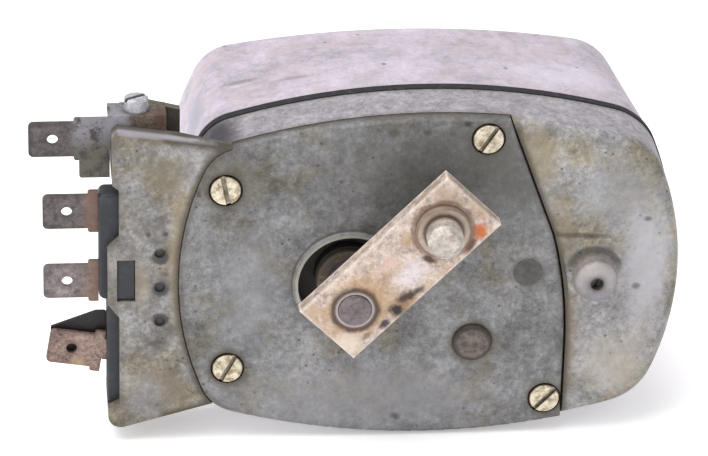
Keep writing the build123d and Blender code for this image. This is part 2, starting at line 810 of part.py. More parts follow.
def tooth_flank(module, teeth, addendum):
    """Points of one flank as (radius, half angle), from root to tip."""
    pitch = module * teeth / 2
    base = pitch * cos(radians(pressure_angle))
    root = pitch - root_depth * module
    tip = pitch + addendum * module
    half = pi / (2 * teeth) - flank_clearance / pitch
    at_base = half + involute(radians(pressure_angle))
    start = max(base, root)
    points = [(root, at_base)] if root < base else []
    for share in (0.0, 0.5, 1.0):
        radius = start + share * (tip - start)
        points.append((radius, at_base - involute(acos(base / radius))))
    return points


def gear_face(module, teeth, addendum, turn):
    """Profile of a spur gear, with one tooth's middle at the angle turn (radians)."""
    flank = tooth_flank(module, teeth, addendum)
    pitch_angle = 2 * pi / teeth
    edges = []
    for tooth in range(teeth):
        middle = turn + tooth * pitch_angle
        down = [(r * cos(middle - a), r * sin(middle - a)) for r, a in flank]
        up = [(r * cos(middle + a), r * sin(middle + a)) for r, a in flank]
        root, half = flank[0]
        after = middle + pitch_angle - half
        following = (root * cos(after), root * sin(after))
        if len(flank) > 3:
            edges.append(Line(down[0], down[1]))
            edges.append(Line(up[1], up[0]))
        edges.append(ThreePointArc(*down[-3:]))
        edges.append(Line(down[-1], up[-1]))
        edges.append(ThreePointArc(up[-1], up[-2], up[-3]))
        edges.append(Line(up[0], following))
    return make_face(Wire(edges))


def gear(x, z, module, teeth, addendum, turn, bore, front, rear):
    """Spur gear at a place in the XZ plane."""
    profile = gear_face(module, teeth, addendum, turn) - Circle(bore)
    return slab(Pos(x, z) * profile, front, rear)


def mesh_turn(turn, teeth, bearing, mating_teeth):
    """Turn of a mating gear, so that its tooth fills this gear's gap along a bearing."""
    along = radians(bearing)
    phase = ((along - turn) * teeth / (2 * pi)) % 1
    return along + pi - (0.5 - phase) * 2 * pi / mating_teeth


def gear_turns():
    """Turn of each gear of the train, from the armature pinion to the output wheel."""
    pinion_0 = 0.0
    wheel_1 = mesh_turn(pinion_0, armature_teeth, wheel_1_bearing, wheel_1_teeth)
    pinion_1 = 0.0
    wheel_2 = mesh_turn(pinion_1, pinion_1_teeth, wheel_2_bearing, wheel_2_teeth)
    pinion_2 = 0.0
    output = mesh_turn(pinion_2, pinion_2_teeth, output_bearing, output_teeth)
    return pinion_0, wheel_1, pinion_1, wheel_2, pinion_2, output


def lightened(wheel, x, z, circle_radius, hole_radius, count):
    """Wheel with a ring of round holes."""
    for i in range(count):
        hole_x, hole_z = step_from(x, z, circle_radius, 360 * i / count)
        wheel -= rod(hole_x, hole_z, hole_radius, face, joint)
    return wheel


def armature_pinion():
    turn = gear_turns()[0]
    return gear(armature_x, armature_z, module_1, armature_teeth, pinion_addendum, turn,
                armature_tip_radius, rear_layer, rear_layer_end)


def hub_1_radius():
    return module_2 * (pinion_1_teeth / 2 - root_depth) - hub_seat


def hub_2_radius():
    return module_3 * (pinion_2_teeth / 2 - root_depth) - hub_seat


def gear_1_wheel():
    turn = gear_turns()[1]
    return gear(axle_1_x, axle_1_z, module_1, wheel_1_teeth, wheel_addendum, turn,
                hub_1_radius(), rear_layer, rear_layer_end)


def gear_1_pinion():
    turn = gear_turns()[2]
    bore = axle_1_radius + running_clearance
    teeth = gear(axle_1_x, axle_1_z, module_2, pinion_1_teeth, pinion_addendum, turn,
                 bore, front_layer, front_layer_end + 0.2)
    return teeth + tube(axle_1_x, axle_1_z, hub_1_radius(), bore, front_layer_end, rear_layer_end + 0.1)


def gear_2_wheel():
    turn = gear_turns()[3]
    wheel = gear(axle_2_x, axle_2_z, module_2, wheel_2_teeth, wheel_addendum, turn,
                 hub_2_radius(), front_layer, front_layer_end)
    middle = (hub_2_radius() + module_2 * wheel_2_teeth / 2) / 2
    return lightened(wheel, axle_2_x, axle_2_z, middle, wheel_hole_radius, wheel_hole_count)


def gear_2_pinion():
    turn = gear_turns()[4]
    bore = axle_2_radius + running_clearance
    teeth = gear(axle_2_x, axle_2_z, module_3, pinion_2_teeth, pinion_addendum, turn,
                 bore, rear_layer, rear_layer_end + 0.1)
    return teeth + tube(axle_2_x, axle_2_z, hub_2_radius(), bore, front_layer, rear_layer)


def output_gear():
    turn = gear_turns()[5]
    return gear(output_x, output_z, module_3, output_teeth, wheel_addendum, turn,
                output_shaft_radius, rear_layer, rear_layer_end)


def park_disc():
    """Contact disc on the output gear, with the gap that stops the arm at rest."""
    outer = park_track_middle + park_track_width / 2
    inner = park_track_middle - park_track_width / 2
    ring = tube(output_x, output_z, outer, inner, rear_layer - park_disc_thickness, rear_layer)
    gap_x, gap_z = step_from(output_x, output_z, outer, arm_angle + 180)
    return ring - rod(gap_x, gap_z, park_track_width * 0.6, face, joint)


def stepped_axle(x, z, journal, shank, head, head_height):
    """Axle held in the gear cover and in the bulkhead, its end seen from the front."""
    pin = rod(x, z, journal, face + gear_cover_thickness, joint)
    pin += rod(x, z, shank, face, face + gear_cover_thickness)
    if head_height > 0:
        top = rod(x, z, head, face - head_height, face)
        pin += fillet(top.edges().sort_by(Axis.Y)[0], head_height * axle_head_rounding)
    return pin


def axle_1():
    return stepped_axle(axle_1_x, axle_1_z, axle_1_radius, axle_1_head_radius, axle_1_head_radius, 0)


def axle_2():
    return stepped_axle(axle_2_x, axle_2_z, axle_2_radius, axle_2_shank_radius,
                        axle_2_head_radius, axle_2_head_height)


# ---- Output shaft and crank ---------------------------------------------------


def output_bush(front, rear):
    inner = output_shaft_radius + running_clearance
    return tube(output_x, output_z, inner + output_bush_wall, inner, front, rear)


def output_front_bush():
    return output_bush(face + gear_cover_thickness - 0.3, well_end + 0.02)


def output_rear_bush():
    return output_bush(bulkhead - 0.1, bulkhead + rear_bearing_length)


def output_shaft():
    """Shaft with a reduced, peened end that carries the arm."""
    seat = shaft_end_radius + arm_seat_play
    shaft = rod(output_x, output_z, output_shaft_radius, arm_back, shaft_end)
    shaft = chamfer(shaft.edges().sort_by(Axis.Y)[-1], shaft_chamfer)
    shaft += rod(output_x, output_z, seat, arm_front, arm_back)
    head = rod(output_x, output_z, shaft_end_radius, arm_front - shaft_end_height, arm_front)
    shaft += fillet(head.edges().sort_by(Axis.Y)[0], shaft_end_height * 0.8)
    groove = tube(output_x, output_z, output_shaft_radius + 1, output_shaft_radius - clip_groove,
                  clip_front, clip_front + clip_thickness)
    return shaft - groove


def output_clip():
    """Open retaining ring in the groove at the rear of the output shaft."""
    ring = tube(output_x, output_z, output_shaft_radius + clip_stand, output_shaft_radius - clip_groove,
                clip_front, clip_front + clip_thickness)
    half = clip_gap / 2
    return ring - block(output_x - half, output_x + half, clip_front - 1, joint + body_depth,
                        output_z - 2 * output_shaft_radius, output_z)


def output_washer():
    """Thrust washer between the rear bush and the retaining ring."""
    front = clip_front - washer_gap - washer_thickness
    return tube(output_x, output_z, output_shaft_radius + washer_width, output_shaft_radius + washer_play,
                front, front + washer_thickness)


def shaft_seal():
    """Rubber ring on the shaft in front of the neck."""
    front = face + gear_cover_thickness - neck_drop - seal_width
    ring = tube(output_x, output_z, neck_radius - seal_lap, output_shaft_radius, front, front + seal_width)
    return fillet(ring.edges().group_by(Axis.Y)[0].sort_by(SortBy.RADIUS)[-1], seal_width * 0.4)


def crank_arm():
    """Flat steel bar with a seat for the shaft and a hole for the crank pin."""
    bar = Pos(arm_length / 2 - arm_tail, 0) * Rectangle(arm_length, arm_width)
    bar -= Circle(shaft_end_radius + arm_seat_play)
    bar -= Pos(crank_throw, 0) * Circle(pin_rivet_radius)
    arm = slab(Pos(output_x, output_z) * Rot(0, 0, arm_angle) * bar, arm_front, arm_back)
    outer = arm.edges().group_by(Axis.Y)[0].filter_by(GeomType.LINE)
    return fillet(outer, arm_edge_radius)


def crank_pin():
    """Pin riveted into the arm, with a collar and a chamfered tip."""
    x, z = step_from(output_x, output_z, crank_throw, arm_angle)
    pin = rod(x, z, pin_radius, arm_front - pin_height, arm_front - pin_collar_height)
    pin = chamfer(pin.edges().sort_by(Axis.Y)[0], pin_tip_chamfer)
    collar = rod(x, z, pin_collar_radius, arm_front - pin_collar_height, arm_front)
    pin += chamfer(collar.edges().sort_by(Axis.Y)[0], pin_collar_edge)
    pin += rod(x, z, pin_rivet_radius, arm_front, arm_back)
    rivet = rod(x, z, pin_rivet_head, arm_back, arm_back + pin_rivet_height)
    return pin + chamfer(rivet.edges().sort_by(Axis.Y)[-1], pin_rivet_height / 2)


# ---- Fasteners ------------------------------------------------------------------


def slotted_head(x, z, radius, front, height, turn, edge):
    """Round screw head with a driving slot across it."""
    head = rod(x, z, radius, front, front + height)
    head = fillet(head.edges().sort_by(Axis.Y)[0], edge)
    slot = Rot(0, 0, turn) * Rectangle(2 * radius + 2, slot_width)
    return head - slab(Pos(x, z) * slot, front - 1, front + slot_depth)


def gear_cover_screws():
    screws = []
    for x, z, turn in cover_screw_places:
        seat = face + cover_screw_sink
        screw = slotted_head(x, z, cover_screw_head_radius, seat - cover_screw_head_height,
                             cover_screw_head_height, turn, cover_screw_head_edge)
        screw += rod(x, z, cover_screw_radius, seat, screw_tip())
        screws.append(screw)
    return Compound(children=screws)


def cover_bolts():
    """Long screws from the rear face: two short bosses at the left, two through the core."""
    bolts = []
    for x, z in bolt_places():
        seat = -bolt_head_sink
        head = rod(x, z, bolt_head_radius, seat, seat + bolt_head_height)
        head = fillet(head.edges().sort_by(Axis.Y)[-1], bolt_head_edge)
        across = Pos(x, z) * Rectangle(3 * bolt_head_radius, bolt_slot_width)
        slot = slab(across, seat + bolt_head_height - bolt_slot_width, 1)
        bolts.append(head - slot + rod(x, z, bolt_radius, joint - bolt_end, seat))
    return Compound(children=bolts)


def thrust_screw():
    """Slotted screw in the boss that takes the thrust of the armature."""
    front = thrust_screw_end() - thrust_screw_length
    screw = rod(armature_x, armature_z, thrust_screw_radius, front, thrust_screw_end())
    slot = Rot(0, 0, thrust_slot_turn) * Rectangle(3 * thrust_screw_radius, thrust_slot_width)
    return screw - slab(Pos(armature_x, armature_z) * slot, front - 1, front + thrust_slot_width)


# ---- Motor ------------------------------------------------------------------------


def armature_bush(front, rear):
    inner = armature_shaft_radius + running_clearance
    return tube(armature_x, armature_z, inner + armature_bush_wall, inner, front, rear)


def armature_front_bush():
    return armature_bush(bulkhead, joint)


def armature_rear_bush():
    return armature_bush(rear_bush_front, cover_floor)


def armature_shaft():
    tip = thrust_screw_end() + tip_play
    shoulder = rear_layer_end + pinion_shoulder_gap
    profile = [
        (0, tip),
        (armature_tip_radius * 0.6, tip),
        (armature_tip_radius, tip + armature_tip_taper),
        (armature_tip_radius, shoulder),
        (armature_shaft_radius, shoulder),
        (armature_shaft_radius, cover_floor - shaft_end_play),
        (0, cover_floor - shaft_end_play),
    ]
    return turned(armature_x, armature_z, profile)


def slot_circle():
    """Radius on which the armature slots lie."""
    return armature_radius - slot_radius - slot_depth_in


def armature_core():
    """Laminated core with round slots that open to the air gap."""
    shape = Circle(armature_radius) - Circle(armature_shaft_radius)
    for i in range(slot_count):
        slot = Pos(slot_circle(), 0) * Circle(slot_radius)
        slot += Pos(armature_radius, 0) * Rectangle(2 * slot_radius + 2, slot_mouth)
        shape -= Rot(0, 0, 360 * i / slot_count) * slot
    return slab(Pos(armature_x, armature_z) * shape, core_start, core_end)


def armature_winding():
    """End turns joined by the bundles that lie in the slots."""
    outer = slot_circle() + slot_radius + end_turn_overhang
    inner = slot_circle() - slot_radius
    front = tube(armature_x, armature_z, outer, inner, core_start - end_turn_front, core_start)
    rear = tube(armature_x, armature_z, outer, inner, core_end, core_end + end_turn_rear)
    winding = fillet(front.edges().group_by(Axis.Y)[0], end_turn_rounding)
    winding += fillet(rear.edges().group_by(Axis.Y)[-1], end_turn_rounding)
    for i in range(slot_count):
        x, z = step_from(armature_x, armature_z, slot_circle(), 360 * i / slot_count)
        winding += rod(x, z, slot_radius - slot_lining, core_start, core_end)
    return winding


def commutator():
    """Copper bars round an insulating hub, with a riser at the core end."""
    rear = core_start - end_turn_front - end_turn_gap
    shape = Circle(commutator_radius) - Circle(armature_shaft_radius)
    for i in range(commutator_bars):
        groove = Pos(commutator_radius, 0) * Rectangle(1.6, bar_gap)
        shape -= Rot(0, 0, 360 * (i + 0.5) / commutator_bars) * groove
    barrel = slab(Pos(armature_x, armature_z) * shape, rear - commutator_length, rear)
    riser = tube(armature_x, armature_z, commutator_radius + riser_height, armature_shaft_radius + 1,
                 rear - riser_width, rear)
    return barrel + riser


def field_core():
    """Laminated C-shaped core with two poles round the armature."""
    bore = armature_radius + air_gap
    reach = bore + leg_height
    shape = rectangle(yoke_left, leg_end_x, -reach, reach)
    shape += Pos(armature_x, armature_z) * Circle(reach)
    shape &= outline(-housing_wall - core_clearance)
    shape -= rectangle(yoke_left + yoke_width, armature_x - bore * 0.9, -bore, bore)
    shape -= rectangle(armature_x - bore, 2 * half_width, -pole_half_gap, pole_half_gap)
    shape -= Pos(armature_x, armature_z) * Circle(bore)
    for side in (1, -1):
        shape -= Pos(core_bolt_x, side * core_bolt_z) * Circle(bolt_radius + bolt_clearance)
    return slab(shape, core_start, core_end)


def coil_half_height():
    return armature_radius + air_gap - coil_setback


def around_yoke(build):
    """Rectangle round the yoke, grown by a build-up on every side."""
    size_x = yoke_width + 2 * build
    size_y = core_length + 2 * build
    middle = Pos(yoke_left + yoke_width / 2, (core_start + core_end) / 2)
    return middle * RectangleRounded(size_x, size_y, max(build * 0.7, 0.05))


def upright(profile, low, high):
    """Prism of a profile drawn in X and Y, between two heights."""
    return extrude(Plane.XY.offset(low) * profile, amount=high - low)


def field_bobbin():
    """Insulating former of the field coil."""
    half = coil_half_height()
    hole = around_yoke(bobbin_fit)
    tube_wall = upright(around_yoke(bobbin_fit + bobbin_wall) - hole, -half, half)
    cheek = around_yoke(coil_build) - hole
    return tube_wall + upright(cheek, -half, 1 - half) + upright(cheek, half - 1, half)


def field_coil():
    half = coil_half_height() - 1.02
    ring = around_yoke(coil_build - 0.3) - around_yoke(0.1 + bobbin_wall)
    return upright(ring, -half, half)


def brush_plate():
    """Insulating plate on the bulkhead that carries both brush holders."""
    half = holder_reach() + brush_plate_margin
    shape = Pos(armature_x, armature_z) * RectangleRounded(brush_plate_width, 2 * half, brush_plate_corner)
    shape &= outline(-housing_wall - brush_plate_margin)
    shape -= Pos(armature_x, armature_z) * Circle(commutator_radius + brush_plate_bore_gap)
    for side in (1, -1):
        shape -= Pos(core_bolt_x, side * core_bolt_z) * Circle(post_radius + 0.1)
    return slab(shape, joint, joint + brush_plate_thickness)


def holder_reach():
    return commutator_radius + holder_start + holder_length


def brush_box(grow, low, high, side):
    """Straight box on one side of the commutator, between two distances from its axis."""
    half_x = brush_width / 2 + grow
    half_y = brush_height / 2 + grow
    y = brush_level
    z0, z1 = sorted((armature_z + side * low, armature_z + side * high))
    return block(armature_x - half_x, armature_x + half_x, y - half_y, y + half_y, z0, z1)


def brush_holders():
    """Square brass tubes on feet, each closed at its outer end."""
    holders = []
    for side in (1, -1):
        inner_end = commutator_radius + holder_start
        outer = brush_box(holder_clearance + holder_wall, inner_end, holder_reach(), side)
        room = brush_box(holder_clearance, commutator_radius, holder_reach() - holder_wall, side)
        foot_z = armature_z + side * (inner_end + holder_length / 2)
        foot = block(armature_x - holder_foot_width / 2, armature_x + holder_foot_width / 2,
                     joint + brush_plate_thickness, brush_level - holder_height / 2 + 0.1,
                     foot_z - holder_foot_length / 2, foot_z + holder_foot_length / 2)
        holders.append(outer + foot - room)
    return Compound(children=holders)


def brushes():
    start = commutator_radius + brush_gap
    return Compound(children=[brush_box(0, start, start + brush_length, side) for side in (1, -1)])


def brush_springs():
    """Coil springs behind the brushes, each drawn as its turns' envelope."""
    springs = []
    start = commutator_radius + brush_gap + brush_length + 0.02
    end = holder_reach() - holder_wall - 0.02
    radius = brush_width / 2 - spring_play
    for side in (1, -1):
        ring = Circle(radius) - Circle(radius - spring_wire * 1.6)
        wall = Pos(armature_x, brush_level) * ring
        low, high = sorted((armature_z + side * start, armature_z + side * end))
        springs.append(upright(wall, low, high))
    return Compound(children=springs)


# ---- Terminals -----------------------------------------------------------------


def blade(tip_x, middle_z, tilt=0.0):
    """Push-on blade with rounded corners, a hole and a shoulder, along +X from its tip."""
    root = blade_length + shoulder_length
    plate = Pos(root / 2, 0) * Rectangle(root, blade_width)
    plate = fillet(plate.vertices().sort_by(Axis.X)[:2], blade_corner)
    shoulder = Pos(root - shoulder_length / 2, 0) * Rectangle(shoulder_length, shoulder_width)
    plate += fillet(shoulder.vertices().sort_by(Axis.X)[:2], blade_corner / 2)
    plate -= Pos(blade_hole_from_tip, 0) * Circle(blade_hole_radius)
    solid = extrude(Plane.XZ.offset(-blade_thickness / 2) * plate, amount=blade_thickness)
    return Pos(tip_x + root, blade_middle, middle_z) * Rot(0, tilt, 0) * Pos(-root, 0, 0) * solid


def blade_tip_x():
    return block_left - blade_length - shoulder_length


def blade_terminal(index, tip_x, tilt=0.0, drop=0.0):
    """Blade with a tail that runs through the block into the gear chamber."""
    middle_z = blade_top_z - blade_pitch * index
    half = blade_thickness / 2
    part = blade(tip_x, middle_z - drop, tilt)
    tail = block(tip_x + blade_length + shoulder_length - half, tail_end_x, blade_middle - half,
                 blade_middle + half, middle_z - tail_width / 2, middle_z + tail_width / 2)
    return part + tail


def terminal_upper():
    return blade_terminal(0, blade_tip_x())


def terminal_middle():
    return blade_terminal(1, blade_tip_x())


def terminal_lower():
    """Lower blade, tilted, with a leaf folded back behind it."""
    middle_z = blade_top_z - 2 * blade_pitch
    root_x = block_left + lobe_step
    tip_x = root_x - lower_blade_back - blade_length - shoulder_length
    leaf_x = tip_x + leaf_inset
    knee_x = root_x - shoulder_length
    leaf = Polyline((leaf_x, middle_z - leaf_drop), (leaf_x, middle_z + leaf_tip_rise),
                    (knee_x, middle_z + leaf_root_rise), (root_x, middle_z + leaf_root_rise),
                    (root_x, middle_z - leaf_drop), close=True)
    leaf = fillet(make_face(leaf).vertices().sort_by(Axis.Y)[-2:], blade_corner / 2)
    front = blade_middle + blade_thickness / 2 + leaf_gap
    back = slab(leaf, front, front + leaf_thickness)
    joiner = block(root_x - blade_thickness, root_x, blade_middle, front + leaf_thickness,
                   middle_z - leaf_drop, middle_z + leaf_drop)
    return blade_terminal(2, tip_x, lower_blade_tilt, lower_blade_drop) + back + joiner


def block_lobe(left_x, low, high):
    """One lobe of the terminal block, rounded at its left corners and along its top."""
    front = face + bracket_wall + block_fit
    wall_x = -half_width - pocket_wall - block_clearance
    lobe = block(left_x, wall_x, front, front + block_depth, low, high)
    lobe = fillet(lobe.edges().filter_by(Axis.Y).sort_by(Axis.X)[:2], block_rounding)
    return fillet(lobe.edges().filter_by(Axis.Z).sort_by(Axis.X)[:2], block_edge)


def terminal_block():
    """Moulded block behind the bracket's front wall, latched in its window."""
    front = face + bracket_wall + block_fit
    wall_x = -half_width - pocket_wall - block_clearance
    body = block_lobe(block_left, lobe_gap_z + lobe_gap / 2, block_top)
    body += block_lobe(block_left + lobe_step, block_bottom, lobe_gap_z - lobe_gap / 2)
    body += block(bracket_left + notch_depth, wall_x, front, front + block_depth,
                  lobe_gap_z - lobe_gap, lobe_gap_z + lobe_gap)
    body += block(wall_x - 1, tongue_end_x, tongue_front, tongue_rear, tongue_bottom, tongue_top)
    body += block(window_left + 0.1, window_left + window_width - 0.1, face + 0.5, front + 0.5,
                  -window_height / 2 + 0.1, window_height / 2 - 0.1)
    for index in range(3):
        middle_z = blade_top_z - blade_pitch * index
        half = blade_thickness / 2
        body -= block(block_left - 1, tongue_end_x + 1, blade_middle - half, blade_middle + half,
                      middle_z - tail_width / 2, middle_z + tail_width / 2)
    return body


def park_finger(index, reach_x):
    """Spring leaf from a terminal's tail to the contact disc, sprung forward at its tip."""
    middle_z = blade_top_z - blade_pitch * index
    root = blade_middle + blade_thickness / 2
    tip = rear_layer - park_disc_thickness - finger_gap - finger_thickness
    t = finger_thickness
    bend_x = reach_x - finger_pad_length
    low = [(tongue_end_x + 0.1, root), (tail_end_x, root), (bend_x, tip), (reach_x, tip)]
    high = [(x, y + t) for x, y in reversed(low)]
    side = make_face(Polyline(*low, *high, close=True))
    return upright(side, middle_z - finger_width / 2, middle_z + finger_width / 2)


def park_finger_upper():
    offset = blade_top_z - output_z
    return park_finger(0, output_x - sqrt(park_track_middle ** 2 - offset ** 2) + finger_overrun)


def park_finger_middle():
    return park_finger(1, output_x - park_track_middle + finger_overrun)


def earth_terminal():
    """Blade with a root plate, folded over the bracket's boss as a strip under its screw."""
    depth = face + earth_blade_depth
    half = blade_thickness / 2
    tip_x = bracket_left - earth_tip_reach
    root_x = tip_x + blade_length + shoulder_length
    strip_front = face + rib_depth + strip_setback
    strip_rear = face + rib_depth + earth_strip_depth
    strip_right = bracket_left + earth_strip_length
    apron_left = bracket_left + earth_boss_inset
    tab = Pos(0, depth - blade_middle, 0) * blade(tip_x, earth_blade_z)
    plate = block(root_x - shoulder_length / 2, bracket_left - earth_plate_gap, depth - half, depth + half,
                  earth_blade_z - earth_plate_foot, earth_blade_z + earth_plate_head)
    plate = fillet(plate.edges().filter_by(Axis.Y).sort_by(Axis.X)[:2], blade_corner / 2)
    riser = block(bracket_left - strip_overhang, apron_left - strip_setback, depth - half, depth + half,
                  earth_blade_z - earth_plate_head / 2, earth_seat + half)
    strip = block(bracket_left - strip_overhang, strip_right, strip_front, strip_rear,
                  earth_seat, earth_seat + blade_thickness)
    apron = block(apron_left, strip_right, strip_front, strip_front + half,
                  earth_seat - earth_plate_head, earth_seat + half)
    whole = tab + plate + riser + strip + apron
    hole = Cylinder(earth_screw_radius + screw_play, 2 * earth_plate_head)
    hole = Pos(earth_screw_x, earth_screw_y, earth_seat) * hole
    return whole - hole


def earth_screw():
    """Cheese-head screw that clamps the earth strip to the bracket's boss."""
    place = Pos(earth_screw_x, earth_screw_y, earth_seat + blade_thickness)
    lower = (Align.CENTER, Align.CENTER, Align.MIN)
    upper = (Align.CENTER, Align.CENTER, Align.MAX)
    head = Cylinder(earth_screw_head_radius, earth_screw_head_height, align=lower)
    head = fillet(head.edges().sort_by(Axis.Z)[-1], 0.4)
    slot = Pos(0, 0, earth_screw_head_height) * Rot(0, 0, 30)
    slot = slot * Box(3 * earth_screw_head_radius, earth_slot_width, 2 * earth_slot_depth)
    return place * (head - slot + Cylinder(earth_screw_radius, earth_screw_length - 1, align=upper))


# ---- Nodes ------------------------------------------------------------------------

nodes = {
    "front_housing": front_housing,
    "gear_cover": gear_cover,
    "gear_cover_gasket": gear_cover_gasket,
    "gear_cover_screws": gear_cover_screws,
    "body_gasket": body_gasket,
    "rear_cover": rear_cover,
    "cover_bolts": cover_bolts,
    "thrust_screw": thrust_screw,
    "axle_1": axle_1,
    "axle_2": axle_2,
    "output_front_bush": output_front_bush,
    "output_rear_bush": output_rear_bush,
    "output_shaft": output_shaft,
    "output_gear": output_gear,
    "output_washer": output_washer,
    "output_clip": output_clip,
    "shaft_seal": shaft_seal,
    "park_disc": park_disc,
    "park_finger_upper": park_finger_upper,
    "park_finger_middle": park_finger_middle,
    "crank_arm": crank_arm,
    "crank_pin": crank_pin,
    "gear_1_wheel": gear_1_wheel,
    "gear_1_pinion": gear_1_pinion,
    "gear_2_wheel": gear_2_wheel,
    "gear_2_pinion": gear_2_pinion,
    "armature_pinion": armature_pinion,
    "armature_shaft": armature_shaft,
    "armature_core": armature_core,
    "armature_winding": armature_winding,
    "commutator": commutator,
    "armature_front_bush": armature_front_bush,
    "armature_rear_bush": armature_rear_bush,
    "field_core": field_core,
    "field_bobbin": field_bobbin,
    "field_coil": field_coil,
    "brush_plate": brush_plate,
    "brush_holders": brush_holders,
    "brushes": brushes,
    "brush_springs": brush_springs,
    "terminal_block": terminal_block,
    "terminal_upper": terminal_upper,
    "terminal_middle": terminal_middle,
    "terminal_lower": terminal_lower,
    "earth_terminal": earth_terminal,
    "earth_screw": earth_screw,
}

os.makedirs("parts", exist_ok=True)
for name, make in nodes.items():
    export_step(make(), "parts/" + name + ".step")
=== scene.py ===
import math

import bpy
from bpy.props import FloatProperty, FloatVectorProperty, IntProperty, PointerProperty
from bpy.types import Operator, Panel, PropertyGroup
from mathutils import Matrix, Vector


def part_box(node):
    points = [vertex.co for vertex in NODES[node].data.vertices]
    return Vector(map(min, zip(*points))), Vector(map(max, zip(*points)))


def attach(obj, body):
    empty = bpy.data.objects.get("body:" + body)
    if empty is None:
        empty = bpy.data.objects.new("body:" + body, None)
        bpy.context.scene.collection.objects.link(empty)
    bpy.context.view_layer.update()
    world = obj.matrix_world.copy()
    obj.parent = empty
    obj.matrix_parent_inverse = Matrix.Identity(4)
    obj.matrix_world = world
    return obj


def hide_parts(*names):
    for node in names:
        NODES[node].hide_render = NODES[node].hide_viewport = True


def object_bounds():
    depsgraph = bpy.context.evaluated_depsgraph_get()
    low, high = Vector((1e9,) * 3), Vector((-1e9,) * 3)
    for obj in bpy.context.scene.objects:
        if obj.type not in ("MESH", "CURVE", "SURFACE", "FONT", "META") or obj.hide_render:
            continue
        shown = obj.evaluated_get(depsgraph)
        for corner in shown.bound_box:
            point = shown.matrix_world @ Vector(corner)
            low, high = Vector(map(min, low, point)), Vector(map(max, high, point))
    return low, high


bl_info = {
    "name": "Wiper motor",
    "version": (1, 0, 0),
    "blender": (4, 5, 0),
    "location": "3D View > Sidebar > Wiper motor",
    "description": "Finishes and fine pieces of a wiper motor with a crank arm",
    "category": "Object",
}

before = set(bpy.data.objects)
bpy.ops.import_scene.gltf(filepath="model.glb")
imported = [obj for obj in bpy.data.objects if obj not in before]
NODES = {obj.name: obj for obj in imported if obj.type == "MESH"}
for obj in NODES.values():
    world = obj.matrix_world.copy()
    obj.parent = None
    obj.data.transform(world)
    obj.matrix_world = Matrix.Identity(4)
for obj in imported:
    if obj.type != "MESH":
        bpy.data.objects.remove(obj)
CAD_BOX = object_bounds()
MM = 0.001


def middle(points):
    """X and Z of the middle of some points; rounded, because a circle's facets are uneven."""
    across = [point.x / MM for point in points]
    up = [point.z / MM for point in points]
    return round((min(across) + max(across)) / 2, 2), round((min(up) + max(up)) / 2, 2)


def front(node):
    """Y of a node's foremost point."""
    return round(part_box(node)[0].y / MM, 2)


def quarters(node):
    """A node's points, sorted by the quarter they lie in, from upper left to lower right."""
    points = [vertex.co for vertex in NODES[node].data.vertices]
    return [[point for point in points if (point.z < 0, point.x > 0) == (lower, right)]
            for lower in (False, True) for right in (False, True)]


# Places on the motor, in millimetres: x to the right, y to the rear, z up.
FACE = front("axle_1")  # this axle ends flush with the face of the gear cover
ARM_FACE = front("crank_arm")
SHAFT = middle(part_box("output_shaft"))
BOSS = middle(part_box("thrust_screw"))
PIN = middle(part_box("crank_pin"))
AXLE_1 = middle(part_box("axle_1"))
AXLE_2 = middle(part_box("axle_2"))
COVER_SCREWS = [middle(points) for points in quarters("gear_cover_screws")]
MIDDLE_PIP = (-46.6, -1.7)  # the dark patch on it
PIP_PITCH = 6.0
FRONT_LEAF_BACK = -38.5  # of the lower blade
BLADE_ROOT = -60.4  # where the blades begin to look coppery


# ---- Shader maths -------------------------------------------------------------

NO_DEPTH = (1, 1000, 1)  # divides depth away, so that only X and Z count


class Signal:
    """A shader socket that takes part in Python expressions."""

    def __init__(self, paint, socket):
        self.paint = paint
        self.socket = socket

    def work(self, operation, *terms):
        """Adds one Math node."""
        return self.paint.node("ShaderNodeMath", {"operation": operation}, dict(enumerate(terms)))

    def __add__(self, other):
        return self.work("ADD", self, other)

    def __sub__(self, other):
        return self.work("SUBTRACT", self, other)

    def __rsub__(self, other):
        return self.work("SUBTRACT", other, self)

    def __mul__(self, other):
        return self.work("MULTIPLY", self, other)

    __radd__ = __add__
    __rmul__ = __mul__

    def most(self, other):
        return self.work("MAXIMUM", self, other)

    def sine(self):
        return self.work("SINE", self)

    def size(self):
        return self.work("ABSOLUTE", self)

    def fade(self, low, high):
        """0 at low and 1 at high, with a soft start and end; low may be the larger."""
        sockets = {"Value": self, "From Min": low, "From Max": high}
        return self.paint.node("ShaderNodeMapRange", {"interpolation_type": "SMOOTHSTEP"}, sockets)


